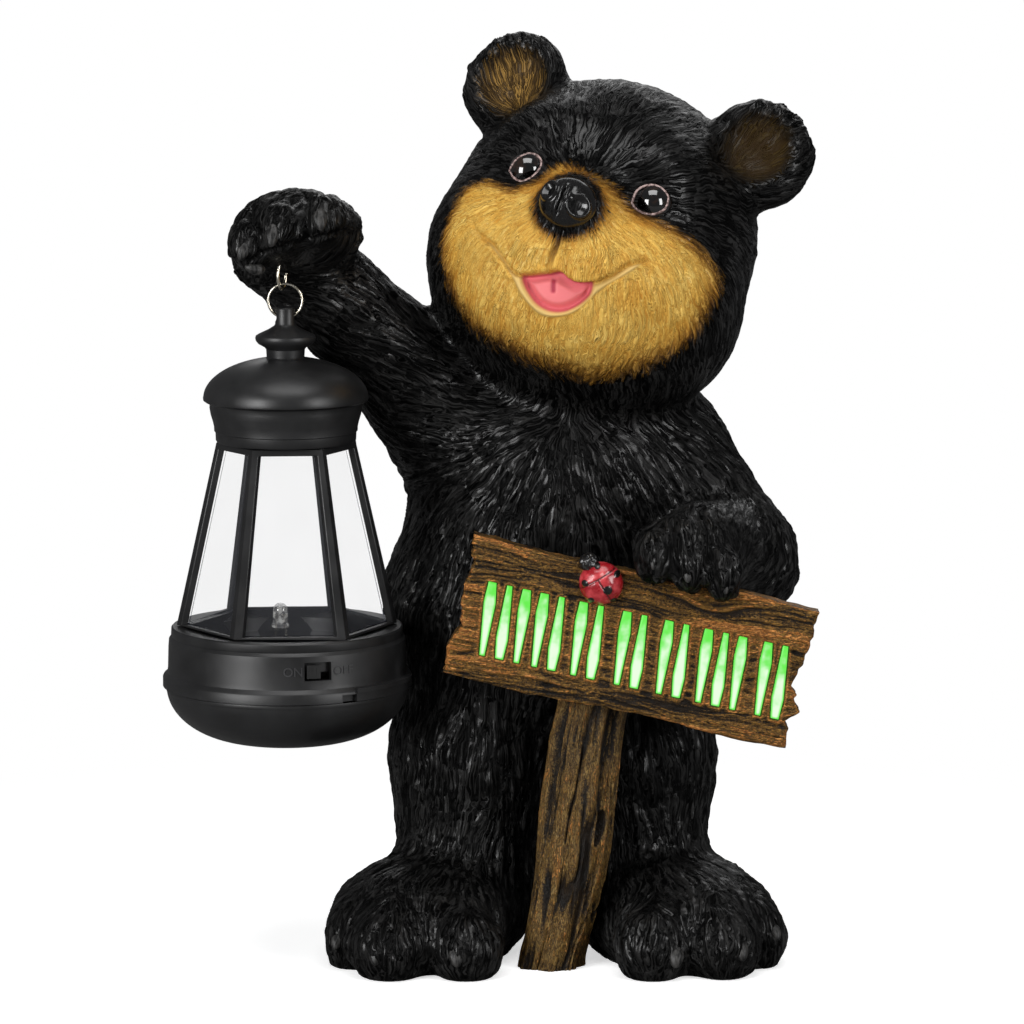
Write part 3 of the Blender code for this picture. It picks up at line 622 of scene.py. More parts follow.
# The clefts between the fingers and the fold under their tips, seen from the front.
TIP_FOLD = [(-84, 234), (-78, 233.4), (-74.5, 235.6), (-68.5, 238.4), (-63, 239.6), (-59.6, 240),
            (-55.6, 241.4), (-51, 242.4), (-46, 243)]
CLEFTS = ([(-59.4, 256), (-60, 248), (-59.6, 241)], [(-79.5, 250), (-75.5, 244), (-74.5, 236)],
          [(59, 150), (59.2, 140), (60.6, 133)], [(71.6, 147), (71, 137), (70.2, 130)])


def face_marks(x, y, z):
    """How far each point of the head is from the face's outlines and lines, in millimetres."""
    face = (y < -22) & (z < 24) & (z > -60)
    marks = {}
    for name, outline in {"lips": LIPS, "opening": OPENING, "gold": GOLD}.items():
        marks[name] = np.full(len(x), float(-FAR))
        marks[name][face] = np.clip(within(x[face], z[face], outline), -FAR, FAR)
    for name, line in {"smile": UPPER_LIP, "philtrum": PHILTRUM, "crease": TONGUE_CREASE}.items():
        marks[name] = np.full(len(x), float(FAR))
        marks[name][face] = np.minimum(beside(x[face], z[face], line), FAR)
    wide, tall = EAR_CUP_HALF
    cups = [np.where(y < 6, wide - wide * np.hypot((x - side * EAR_CUP[0]) / wide, (z - EAR_CUP[1]) / tall),
                     -FAR) for side in (-1, 1)]
    marks["ear"] = np.maximum(np.maximum(*cups), -FAR)
    marks["nose"] = np.where(y < -30, np.minimum(np.hypot(x, z + 2), 30), 30)
    marks["eyes"] = np.where(y < -20, np.minimum(*[np.hypot(x - ex, z - ez) for ex, ez in EYES]), 30)
    return marks


def paw_marks(points):
    """Distances to the clefts and the tip fold, and the share of the smooth raised palm."""
    paws = (points[:, 1] < -22) & (points[:, 2] > 120)
    cleft, fold, palm = (np.full(len(points), 9.0) for _ in range(3))
    across, up = points[paws, 0], points[paws, 2]
    cleft[paws] = np.minimum(np.min([beside(across, up, line) for line in CLEFTS], axis=0), 9)
    fold[paws] = np.minimum(beside(across, up, TIP_FOLD), 9)
    palm[paws] = np.where(across < -40, up - np.interp(across, *zip(*TIP_FOLD)), 9)
    return cleft, fold, (1 - step_up(palm, -1.2, 0)) * step_up(points[:, 2], 226, 231)


def carve():
    """Carves the coat and the face, and marks them for the paint."""
    points, normals = read_vectors(skin.vertices, "co"), read_vectors(skin.vertex_normals, "vector")
    local = (points - HEAD_CENTRE) @ HEAD_TURN
    x, y, z = local.T
    marks = face_marks(x, y, z)
    on_face, smile, nose = step_up(marks["gold"], -4, 4), marks["smile"], marks["nose"]
    lips, opening = step_up(marks["lips"], -0.4, 0.4), step_up(marks["opening"], -0.6, 0.6)
    # The skin is bare on the lips, in the mouth and around the eyes and the nose.
    bald = lips + opening + 2 - step_up(marks["eyes"], 6, 7.6) - step_up(nose, 8, 10)
    bald = np.clip(bald, 0, 1)
    cleft, fold, palm = paw_marks(points)
    bald = np.maximum(bald, 0.85 * palm)
    head = step_up(np.linalg.norm(local / (56, 52, 62), axis=1), 1.3, 1.05)
    lock, wide, fine = (strands(points, normals, *size) for size in (LOCK, STRAND, HAIR))
    ridge, crest = np.abs(fine) ** 0.8 * 1.6 - 0.8, np.abs(wide) * 2 - 0.8
    near = step_up(marks["gold"], -9, -3)
    # Locks and strands over the body, hairs as well near the face, nothing at the floor.
    relief = (0.38 - 0.22 * head) * lock + (0.5 - 0.32 * head) * crest + (0.06 + 0.36 * near) * ridge
    relief *= (1 - 0.35 * on_face) * (1 - bald) * step_up(points[:, 2], 0, 2)
    relief *= 1 - 0.4 * step_up(marks["ear"], 1, 4)
    # The smile's groove with the cheeks swelling over it, the parting under the nose, the lips
    # and the open mouth with its tongue, and the paws' clefts and folds.
    relief -= 1.3 * np.exp(-(smile / 0.9) ** 2) * step_up(x, -37, -24) * (1 - opening) * on_face
    over = np.exp(-np.maximum(smile - 1, 0) / 2.6) * (z > -30) * (1 - lips) * (1 - opening)
    relief += 1.1 * over * step_up(x, -33, -20) * (1 - step_up(x, 20, 28)) * on_face
    relief -= 1.2 * np.exp(-marks["philtrum"] ** 2) * (nose > 9) * (1 - lips) * (1 - opening)
    relief += 0.7 * step_up(marks["lips"], 0, 1.2) * (1 - opening)
    tongue = step_up(marks["opening"], 0.8, 3.4) * step_up(z, -24, -28)
    relief -= opening * (3.6 - 1.6 * tongue + 0.7 * np.exp(-(marks["crease"] / 0.8) ** 2))
    relief -= 1.7 * np.exp(-(cleft / 1.1) ** 2) + 1.6 * np.exp(-(fold / 1.0) ** 2) + 1.0 * palm
    write_points(skin, points + relief[:, None] * normals)
    coat = 0.5 + 0.15 * lock + 0.4 * near * ridge + 0.3 * (1 - near) * crest
    marks["ridge"] = np.clip(coat, 0, 1) * (1 - bald) + 0.4 * bald
    marks["ridge"] *= 1 - 0.6 * np.exp(-(np.minimum(cleft, fold) / 1.2) ** 2)
    for name, values in marks.items():
        store = skin.attributes.new(name, "FLOAT", "POINT")
        store.data.foreach_set("value", values.astype(np.float32))
    store = skin.attributes.new("lie", "FLOAT_VECTOR", "POINT")
    store.data.foreach_set("vector", lie_of_fur(points, normals).astype(np.float32).ravel())


carve()

# Black lacquer, glossy on the hairs' crests only, and gold paint that the lower hairs break up
# at its edge. Each tuft of hairs is one cell of a random pattern.
fur = Finish("black_fur", Specular_IOR_Level=0.07, Coat_Roughness=0.27)
spot = fur.place()
HAIR_WIDTH, HAIR_LENGTH, HAIR_SWAY, SWAY_SCALE = 0.68, 15.0, 1.9, 0.22
FIRST_TUFT, SECOND_TUFT = (9.0, 0.0), (10.7, 37.0)


def tuft_layer(finish, point, size, shift):
    """Fine wavy strands that lie along the fur, laid in tufts; the tuft's edge comes second."""
    seeds = {"Vector": finish.node("VectorMath", {"operation": "ADD"}, {0: point, 1: (shift,) * 3}),
             "Scale": 1 / size}
    centre = finish.node("TexVoronoi", {}, seeds, 2)
    edge = Socket(finish, centre.output.node.outputs["Distance"])
    chance = Socket(finish, centre.output.node.outputs["Color"])
    away = finish.node("VectorMath", {"operation": "SUBTRACT"}, {0: seeds["Vector"], 1: centre})
    along = finish.node("VectorMath", {"operation": "NORMALIZE"}, {0: finish.mark("lie", 1)})
    across = finish.node("VectorMath", {"operation": "CROSS_PRODUCT"},
                         {0: finish.node("NewGeometry", output=1), 1: along})
    u, v = (finish.node("VectorMath", {"operation": "DOT_PRODUCT"}, {0: away, 1: way}, 1)
            for way in (across, along))
    sway = finish.noise(seeds["Vector"], SWAY_SCALE, 1.0) * HAIR_SWAY
    w = finish.node("SeparateXYZ", {}, {0: chance}, 0) * 30
    rope = finish.node("CombineXYZ", {}, {0: (u + sway) / HAIR_WIDTH, 1: v / HAIR_LENGTH, 2: w})
    return finish.noise(rope, 1.0, 1.0), edge


# Two layers of tufts, each hiding the edges of the other.
first, tuft_edge = tuft_layer(fur, spot, *FIRST_TUFT)
second, _ = tuft_layer(fur, spot, *SECOND_TUFT)
share = tuft_edge.rise(0.32, 0.5)
hair = first * (1 - share) + second * share
strand = ((hair - 0.5) * 4.5).maths("ABSOLUTE").low(1)
ridge = fur.mark("ridge")
top = (ridge * 0.55 + strand * 0.45).rise(0.12, 0.85)
crest = hair.rise(0.45, 0.62) * ridge.rise(-0.3, 0.7)
black = crest.blend((0.0006, 0.0006, 0.0006), (0.019, 0.0185, 0.018))
gold_fur = fur.ramp(ridge * 0.3 + strand * 0.7, (0.05, (0.43, 0.2, 0.03)),
                    (0.25, (0.63, 0.36, 0.07)), (0.5, (0.76, 0.49, 0.115)), (0.95, (0.84, 0.58, 0.165)))
mottle = fur.noise(spot, 0.09, 2.0)
gold_fur = mottle.rise(0.35, 0.7).blend(gold_fur, (0.96, 0.88, 0.74), "MULTIPLY")
gold, nose, eyes = fur.mark("gold"), fur.mark("nose"), fur.mark("eyes")
near_dark = gold.rise(0, 6) * nose.rise(10, 18) * eyes.rise(7, 13)
gold_fur = (1 - near_dark).blend(gold_fur, near_dark.blend((0.6, 0.46, 0.32), (1, 1, 1)), "MULTIPLY")
show = (gold + (top - 0.5) * 2.2).rise(-2.2, 3.0)
show = show * (nose - strand * 3.0).rise(9.7, 12.6)
parting = fur.mark("philtrum").rise(0.1, 1.5).high((nose - top * 4).rise(11, 22))
gold_fur = parting.blend((0.1, 0.045, 0.012), gold_fur)
colour = show.blend(black, gold_fur)
# The ears' cups are painted brown, and the right cup is painted far darker than the left: painted shade on
# the right ear.
right_ear_shade = fur.node("SeparateXYZ", {}, {0: spot}, 0).rise(20, 55)
inner_ear = right_ear_shade.blend((0.27, 0.155, 0.04), (0.05, 0.032, 0.01))
inner_ear = strand.rise(0, 0.9).blend((0.03, 0.017, 0.006), inner_ear)
cup = (fur.mark("ear") + (top - 0.5) * 2).rise(-0.5, 6)
colour = cup.blend(colour, inner_ear)
lip = fur.mark("lips").rise(0.1, 0.8)
lip_colour = fur.mark("lips").rise(0.4, 1.4).blend((0.48, 0.3, 0.09), (0.66, 0.45, 0.16))
colour = lip.blend(colour, lip_colour)
opening = fur.mark("opening")
tongue = fur.ramp(opening / 6, (0.0, (0.5, 0.09, 0.1)), (0.1, (0.7, 0.15, 0.17)),
                  (0.5, (0.77, 0.2, 0.21)))
tongue = fur.mark("crease").rise(0.1, 1.4).blend((0.4, 0.05, 0.08), tongue)
colour = opening.rise(-0.3, 0.2).blend(colour, tongue)
smooth_skin = lip.high(opening.rise(-0.6, 0.4))
shine = crest * 0.56 * (1 - show.high(cup) * 0.7) * (1 - smooth_skin)
fur.feed(Base_Color=colour, Roughness=smooth_skin.rise(0, 1, 0.45, 0.33), Coat_Weight=shine,
         Normal=fur.bump(strand * (1 - smooth_skin), 0.4))

# The casting is kept as a face, a head, a trunk, two arms and a pair of legs, each closed
# where it meets the next. Each takes the skin that is nearest to its forms in COAT.
FACE_PART = -1
PARTS = {"bear_face": (FACE_PART,), "bear_head": (0, 1, 11, 14), "bear_trunk": (2, 3, 4),
         "bear_raised_arm": (5, 6, 7), "bear_low_arm": (8, 9, 10), "bear_legs": (12, 13, 15, 16)}


def part_of_skin(name, chosen, whole_normals):
    """One part of the skin, closed where it meets the others."""
    def read(sequence, key, kind):
        values = np.empty(len(sequence), kind)
        sequence.foreach_get(key, values)
        return values

    starts, counts = (read(skin.polygons, key, np.int32)[chosen] for key in ("loop_start", "loop_total"))
    firsts = np.cumsum(counts) - counts
    corners = read(skin.loops, "vertex_index", np.int32)
    corners = corners[np.repeat(starts - firsts, counts) + np.arange(counts.sum())]
    used, corners = np.unique(corners, return_inverse=True)
    mesh = bpy.data.meshes.new(name)
    mesh.vertices.add(len(used))
    mesh.loops.add(len(corners))
    mesh.polygons.add(len(firsts))
    mesh.loops.foreach_set("vertex_index", corners.astype(np.int32))
    mesh.polygons.foreach_set("loop_start", firsts.astype(np.int32))
    write_points(mesh, read_vectors(skin.vertices, "co")[used] * MM)
    mesh.update(calc_edges=True)
    for source in skin.attributes:
        marked = source.domain == "POINT" and source.name != "position"
        if marked and source.data_type in ("FLOAT", "FLOAT_VECTOR"):
            key, width = ("value", 1) if source.data_type == "FLOAT" else ("vector", 3)
            values = np.empty(len(skin.vertices) * width, np.float32)
            source.data.foreach_get(key, values)
            copy = mesh.attributes.new(source.name, source.data_type, "POINT")
            copy.data.foreach_set(key, values.reshape(-1, width)[used].ravel())
    work = bmesh.new()
    work.from_mesh(mesh)
    rim = [edge for edge in work.edges if edge.is_boundary]
    caps = bmesh.ops.holes_fill(work, edges=rim, sides=0)
    bmesh.ops.poke(work, faces=caps["faces"])
    work.to_mesh(mesh)
    work.free()
    inward = [(0, 0, 0)] * (len(mesh.vertices) - len(used))
    mesh.shade_smooth()
    mesh.normals_split_custom_set_from_vertices([tuple(n) for n in whole_normals[used]] + inward)
    return mesh


centres = read_vectors(skin.polygons, "center")
nearest = np.argmin([form.distance(centres) for form, *_ in COAT], axis=0)
nearest[in_face(centres)] = FACE_PART
normals = read_vectors(skin.vertex_normals, "vector")
for name, forms in PARTS.items():
    part_mesh = part_of_skin(name, np.flatnonzero(np.isin(nearest, forms)), normals)
    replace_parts(cast(name, "statue", fur, part_mesh), "bear")

# ---------------------------------------------------------------- the eyes, nose and claws
# The nose is a glossy black ball with the nostrils curled into it, the eyes are glossy domes
# in thin painted lids, and blunt claws show through the fur of the paws.
def gathered(name, shapes):
    """One mesh in metres out of several (points in millimetres, faces) pairs."""
    points, faces = [], []
    for some, corners in shapes:
        faces += [[index + len(points) for index in face] for face in corners]
        points += [tuple(np.array(point) * MM) for point in some]
    mesh = bpy.data.meshes.new(name)
    mesh.from_pydata(points, [], faces)
    return mesh


def turns_of(count):
    """The angles of a number of even steps round a circle."""
    return np.arange(count) * 2 * math.pi / count


def woven(rings, sides, first=0):
    """Quads between rings of points, each ring closed on itself."""
    return [(first + a * sides + i, first + a * sides + (i + 1) % sides,
             first + (a + 1) * sides + (i + 1) % sides, first + (a + 1) * sides + i)
            for a in range(rings - 1) for i in range(sides)]


def globe(columns, rows):
    """Directions over a ball, pole first along +Y, and the faces between them."""
    down, around = np.meshgrid(np.linspace(0, math.pi, rows + 1)[1:-1], turns_of(columns), indexing="ij")
    ring = np.stack((np.sin(down) * np.cos(around), np.cos(down), np.sin(down) * np.sin(around)), axis=-1)
    points = np.vstack(((0, 1, 0), ring.reshape(-1, 3), (0, -1, 0)))
    last = len(points) - 1
    faces = []
    for column in range(columns):
        after = (column + 1) % columns
        faces.append((0, 1 + after, 1 + column))
        faces.append((last, last - columns + column, last - columns + after))
        for row in range(rows - 2):
            start = 1 + row * columns
            faces.append((start + column, start + after, start + columns + after, start + columns + column))
    return points, faces


def hoops(line, radius, ahead, out, sides):
    """Rings of points around each point of a line."""
    up, turns = np.cross(ahead, out), turns_of(sides)
    round_it = np.cos(turns)[None, :, None] * out[:, None] + np.sin(turns)[None, :, None] * up[:, None]
    return (line[:, None] + radius * round_it).reshape(-1, 3)


def tube(line, radius, sides=10):
    """A closed tube along a ring of points."""
    line = np.array(line)
    ahead = unit(np.roll(line, -1, axis=0) - np.roll(line, 1, axis=0))
    middle = line.mean(axis=0)
    out = unit(line - middle - np.sum((line - middle) * ahead, axis=1)[:, None] * ahead)
    points = hoops(line, radius, ahead, out, sides)
    faces = woven(len(line) + 1, sides)
    return points, [tuple(index % len(points) for index in face) for face in faces]


def heads_place(points):
    return points @ HEAD_TURN.T + HEAD_CENTRE


# Each nostril: its middle, its half sizes and the angle where its rim is open; then the folds
# between them: how far to the side and how high.
NOSE_CENTRE, NOSE_RADII = np.array((0.0, -55.6, -2.0)), np.array((9.7, 8.3, 9.1))
NOSTRILS = (((-5.8, 1.6), (2.3, 3.1), 4.7), ((4.6, -0.8), (3.2, 3.3), 2.4))
FOLDS, NOSE_DEPTH = ((-1.9, 0.5), (-0.8, -0.9), (0.3, 0.6)), 1.35
ways, faces = globe(108, 82)
ball = ways * NOSE_RADII
side, high = ball[:, 0], ball[:, 2]
front = step_up(-ways[:, 1], 0.1, 0.5)
lift = np.zeros(len(ball))
for middle, size, gap in NOSTRILS:
    away = np.hypot((side - middle[0]) / size[0], (high - middle[1]) / size[1])
    around = np.arctan2(high - middle[1], side - middle[0])
    strength = 1 - np.exp(-((around - gap) / 0.55) ** 2)
    lift += 0.75 * strength * np.exp(-((away - 1) / 0.2) ** 2) - 1.7 * np.exp(-(away / 0.62) ** 2)
for middle, depth in FOLDS:
    fold = np.exp(-((side - middle - 0.04 * high) / 0.55) ** 2)
    lift += depth * fold * step_up(high, 6, 3) * step_up(high, -7, -4)
ball = ball + (NOSE_DEPTH * lift * front)[:, None] * ways
nose_gloss = Finish("nose_gloss", Specular_IOR_Level=0.3, Coat_Weight=0.6, Coat_Roughness=0.09)
grain = nose_gloss.noise(nose_gloss.place(), 1.6, 3.0)
nose_gloss.feed(Base_Color=grain.blend((0.002, 0.002, 0.002), (0.006, 0.0056, 0.0054)),
                Roughness=grain.rise(0.3, 0.7, 0.16, 0.3), Normal=nose_gloss.bump(grain, 0.06))
nose_mesh = gathered("bear_nose", [(heads_place(NOSE_CENTRE + ball), faces)])
bear_nose = cast("bear_nose", "statue", nose_gloss, nose_mesh, 180)
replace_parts(bear_nose, "bear")

ways, faces = globe(48, 32)
eye_gloss = Finish("eye_gloss", Coat_Weight=1.0, Coat_Roughness=0.02, Specular_IOR_Level=0.7)
swirl_and_glints = eye_gloss.noise(eye_gloss.place(), 0.35, 2.0)
eye_gloss.feed(Base_Color=swirl_and_glints.rise(0.45, 0.75).blend((0.002, 0.002, 0.002), (0.02, 0.009, 0.005)),
               Roughness=swirl_and_glints.rise(0.3, 0.7, 0.06, 0.12))
eye_mesh = gathered("bear_eyes", [(heads_place(centre + ways * EYE_RADIUS), faces)
                                  for centre in EYE_CENTRES])
bear_eyes = cast("bear_eyes", "statue", eye_gloss, eye_mesh, 180)
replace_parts(bear_eyes, "bear")

LIDS = (((-26.2, 6.6), (-23.4, 4.1), (-19.9, 3.4), (-16.6, 6.3), (-15.5, 10.8), (-17.4, 13.8),
         (-20.9, 14.3), (-24.3, 11)),
        ((16.6, 6.4), (16.9, 12.3), (21.6, 15.5), (26.9, 13.5), (27.7, 8.6), (24, 5), (19.6, 4.5)))
LID_WIRE, LID_SHARE = 0.45, 0.93
lid_paint = Finish("lid_paint")
worn = lid_paint.noise(lid_paint.place(), 1.1, 3.0)
lid_paint.feed(Base_Color=worn.rise(0.4, 0.62).blend((0.1, 0.06, 0.055), (0.42, 0.3, 0.28)),
               Roughness=worn.rise(0.3, 0.7, 0.3, 0.5))
shapes = []
for outline, centre in zip(LIDS, EYE_CENTRES):
    ring = [tuple(centre[::2] + LID_SHARE * (np.array(spot) - centre[::2]))
            for spot in smooth_line(list(outline) + [outline[0]], 6)[:-1]]
    eyed = SKIN + [("add", head_ball(centre, (EYE_RADIUS,) * 3), 0.3)]
    line = np.array([face_depth(x, z, eyed, 0.15) for x, z in ring])
    shapes.append(tube(heads_place(line), LID_WIRE))
bear_lids = cast("bear_eyelids", "statue", lid_paint, gathered("bear_eyelids", shapes), 180)
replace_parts(bear_lids, "bear")

# Where each claw shows, the way that it points and its half width and half length.
CLAWS = (((-80, -40.5, 237), (-0.25, -0.35, -0.9), 2.2, 4.0),
         ((-70.4, -44.3, 242.3), (-0.12, -0.45, -0.9), 2.4, 4.8),
         ((-55, -43.6, 247.3), (0.1, -0.45, -0.9), 2.5, 4.4),
         ((-76.4, -37.6, 230.8), (-1, -0.2, 0.2), 2.2, 3.8),
         ((52.7, -63, 138), (-0.1, -0.4, -1), 1.4, 2.6), ((63.7, -63.2, 134), (0, -0.4, -1), 1.5, 2.8),
         ((75.8, -62.6, 130), (0.1, -0.4, -1), 1.4, 2.6),
         ((-50.5, -46.8, 9.5), (-0.3, -0.5, -0.7), 2.0, 3.4),
         ((-37.2, -64.4, 9.2), (-0.1, -0.5, -0.8), 2.4, 4.2),
         ((-11.2, -65.1, 8.7), (0.1, -0.5, -0.8), 2.5, 4.2),
         ((60.5, -64, 8.2), (-0.1, -0.5, -0.8), 2.5, 4.2),
         ((81.8, -61.4, 9.9), (0.1, -0.5, -0.8), 2.4, 4.2),
         ((93.6, -44, 12), (0.3, -0.5, -0.7), 2.0, 3.4))
CLAW_SIZE, CLAW_SUNK = 0.9, (0, 1.4, 0.4)
ways, faces = globe(22, 16)
shapes = []
for centre, way, half_width, half_length in CLAWS:
    along = np.array(way) / np.linalg.norm(way)
    across = np.cross(along, (0.0, -1.0, 0.3))
    across /= np.linalg.norm(across)
    frame_of_claw = np.stack((across, np.cross(along, across), along))
    narrow = 1.1 - 0.2 * step_up(ways[:, 2], -0.2, 1)
    grooves = 1 + 0.05 * np.cos(9 * np.arctan2(ways[:, 1], ways[:, 0]))
    spread = half_width * narrow * grooves
    shape = np.stack((ways[:, 0] * spread, ways[:, 1] * spread * 0.8, ways[:, 2] * half_length), axis=1)
    shapes.append((shape * CLAW_SIZE @ frame_of_claw + np.array(centre) + CLAW_SUNK, faces))
claw_horn = Finish("claw_horn", Specular_IOR_Level=0.35)
streak = claw_horn.noise(claw_horn.stretched(claw_horn.place(), (1.0, 1.0, 0.25)), 0.9, 3.0)
claw_horn.feed(Base_Color=streak.rise(0.35, 0.7).blend((0.004, 0.004, 0.004), (0.045, 0.043, 0.041)),
               Roughness=streak.rise(0.3, 0.7, 0.38, 0.52), Normal=claw_horn.bump(streak, 0.2))
bear_claws = cast("bear_claws", "statue", claw_horn, gathered("bear_claws", shapes), 180)
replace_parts(bear_claws, "bear")

# ---------------------------------------------------------------- the sign
# A plank cast in resin with a deep carved grain, stained dark and brushed with orange. Its
# windows hold tapered strokes of milky plastic that glow green, lit from behind.
BOARD_FRAME = np.array(Matrix.Translation((45.6, -47.5, 110.6)) @ Matrix(turn(x=90, y=12.4)).to_4x4())
BOARD_HALF_LENGTH, BOARD_HALF_HEIGHT, BOARD_HALF_THICK = 57.5, 23.25, 4.5
STROKE_GROUPS = ((-41.5, 3), (-27, 2), (-14, 2), (0.5, 2), (14.5, 2), (30.5, 3), (47.5, 2))
STROKE_PITCH, STROKE_HALF, STROKE_RISE, STROKE_SLANT = 5.7, 12.0, -2.5, 0.07
STROKE_ENDS, STROKE_WIDTHS = (-1, -0.35, 0.45, 1), (0.9, 1.4, 2.0, 1.35)
KNOTS = ((-36, 15), (24, 16), (-8, -19), (44, -14))
# The ragged ends: how far the plank's outline strays from straight, from its lower edge up.
RIGHT_END = (-1, -0.62, -0.45, -0.1, 0.45, 1), (0, -2.5, 1.2, -3, -0.5, 0)
LEFT_END = (-1, -0.55, -0.3, 0.2, 0.6, 1), (0, -0.4, 2.6, 0.3, 1.5, 0)
WINDOW_DEPTH, FRONT_CUT, SIDE_STEPS = 2.2, 0.25, (1.2, 2.4, 3.6, 4.8, 6, 7.2, 8.4, 9)


def on_board(points):
    return points @ BOARD_FRAME[:3, :3].T + BOARD_FRAME[:3, 3]


def strokes():
    """The middle of each stroke and whether it stands on its wide end."""
    for centre, count in STROKE_GROUPS:
        for index in range(count):
            yield centre + (index - (count - 1) / 2) * STROKE_PITCH, -1 if index % 2 else 1


def stroke_rows(middle, flip, rows):
    """Middles, heights and half widths along a stroke, from its narrow end."""
    along = np.linspace(-1, 1, rows)
    up = flip * along * STROKE_HALF
    return middle - STROKE_SLANT * up, up + STROKE_RISE, np.interp(along, STROKE_ENDS, STROKE_WIDTHS)


def grain(x, y, seed):
    """Height of carved wood with its grain along x, and how much of the crests catch paint."""
    def layer(wide, tall, shift):
        spots = np.stack((x / wide, y / tall, np.full(x.shape, seed + shift)), axis=-1)
        return soft_noise(spots.reshape(-1, 3)).reshape(x.shape)

    y = y + 2.6 * layer(24, 13, 1) + 0.8 * layer(9, 5, 2)
    for knot_x, knot_y in KNOTS:
        swing = np.exp(-(((x - knot_x) / 9) ** 2 + ((y - knot_y) / 4) ** 2))
        y = y + 3.2 * swing * np.tanh((y - knot_y) / 1.5)
    lines, fine, cracks = layer(26, 1.0, 3), layer(12, 0.5, 4), layer(34, 2.2, 5)
    crack = np.exp(-(cracks / 0.09) ** 2) * (layer(16, 9, 6) > -0.15)
    height = 0.42 * (0.5 - np.abs(lines) * 2) + 0.2 * (0.5 - np.abs(fine) * 2) + 0.3 * layer(30, 6, 7)
    return height - 0.75 * crack, height * 1.4 - crack


COLUMNS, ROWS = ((284, 126))
across, upward = np.meshgrid(np.linspace(-1, 1, COLUMNS), np.linspace(-1, 1, ROWS))
ragged = [soft_noise(np.stack((np.full(ROWS, shift), upward[:, 0] * 14, np.zeros(ROWS)), axis=-1))
          for shift in (3.5, 9.5)]
right = BOARD_HALF_LENGTH + 0.9 * ragged[0] + np.interp(upward[:, 0], *RIGHT_END)
left = -BOARD_HALF_LENGTH + 0.9 * ragged[1] + np.interp(upward[:, 0], *LEFT_END)
edge_noise = soft_noise(np.stack((across[0] * 16, np.full(COLUMNS, 5.5), np.zeros(COLUMNS)), axis=-1))
chip = 1.3 * np.exp(-((across[0] - 0.16) / 0.035) ** 2) + 0.8 * np.exp(-((across[0] - 0.27) / 0.02) ** 2)
upper = BOARD_HALF_HEIGHT + 0.7 * np.sin(4 * across[0]) + 0.35 * edge_noise - chip
lower = -BOARD_HALF_HEIGHT + 0.7 * np.sin(5 * across[0] + 1) + 0.35 * edge_noise[::-1]
x = left[:, None] + (right - left)[:, None] * (across + 1) / 2
y = lower[None] + (upper - lower)[None] * (upward + 1) / 2
window = np.full(x.shape, -9.0)
for middle, flip in strokes():
    near = np.abs(x - middle + STROKE_SLANT * (y - STROKE_RISE)) < 5
    centres_x, ups, halves = stroke_rows(middle, flip, 7)
    outline = list(zip(centres_x + halves, ups)) + list(zip(centres_x - halves, ups))[::-1]
    window[near] = np.maximum(window[near], within(x[near], y[near], outline))
height, crest = grain(x, y, 3)
border = np.minimum(np.minimum(x - left[:, None], right[:, None] - x), np.minimum(y - lower, upper - y))
# Each window is sunk with a smoothed lip round it, and the plank's own edge is rounded off.
level = 1 - 0.75 * np.exp(-((window + 0.7) / 0.8) ** 2)
lip = 0.2 * np.exp(-((window + 0.75) / 0.4) ** 2)
height = height * level + lip - WINDOW_DEPTH * step_up(window, -0.4, 0.05)
height = height - 0.9 * np.exp(-border / 0.6)
crest = crest * level + 0.75 * np.exp(-((window + 0.65) / 0.4) ** 2) + 0.55 * np.exp(-(border / 0.9) ** 2)
crest = crest - 1.5 * step_up(window, -0.35, -0.1)


def slab(grid_x, grid_y, grid_z, marks, depths):
    """A closed slab under a grid of points: its front, ragged sides and a flat back."""
    rows, columns = grid_x.shape
    index = np.arange(rows * columns).reshape(rows, columns)
    faces = np.stack((index[:-1, :-1], index[:-1, 1:], index[1:, 1:], index[1:, :-1]), axis=-1)
    rim = np.concatenate((index[0, :-1], index[:-1, -1], index[-1, :0:-1], index[:0:-1, 0]))
    points = np.stack((grid_x, grid_y, grid_z), axis=-1).reshape(-1, 3)
    faces, marks = faces.reshape(-1, 4).tolist(), [marks.ravel()]
    edge, ring = points[rim], rim
    middle = edge * (1, 1, 0)
    for depth in depths:
        rough, caught = grain(edge[:, 0] + edge[:, 1], np.full(len(edge), depth * 1.0), 11)
        last = edge[:, 2] if depth == 0 else np.full(len(edge), BOARD_HALF_THICK)
        pushed = middle + 0.55 * (rough - 0.2)[:, None] * unit(middle * (0.4, 1, 0))
        pushed[:, 2] = last - depth
        start = len(points)
        points = np.vstack((points, pushed))
        fresh = np.arange(start, start + len(rim))
        faces += np.stack((ring, fresh, np.roll(fresh, -1), np.roll(ring, -1)), axis=-1).tolist()
        marks.append(caught)
        ring = fresh
    faces.append(ring[::-1].tolist())
    return points, faces, np.concatenate(marks)


def marked(mesh, **marks):
    for name, values in marks.items():
        mesh.attributes.new(name, "FLOAT", "POINT").data.foreach_set("value", np.asarray(values, np.float32))
    return mesh


points, faces, crest = slab(x, y, BOARD_HALF_THICK - FRONT_CUT + height, crest, SIDE_STEPS)
board_mesh = marked(gathered("sign_board", [(on_board(points), faces)]), crest=crest)


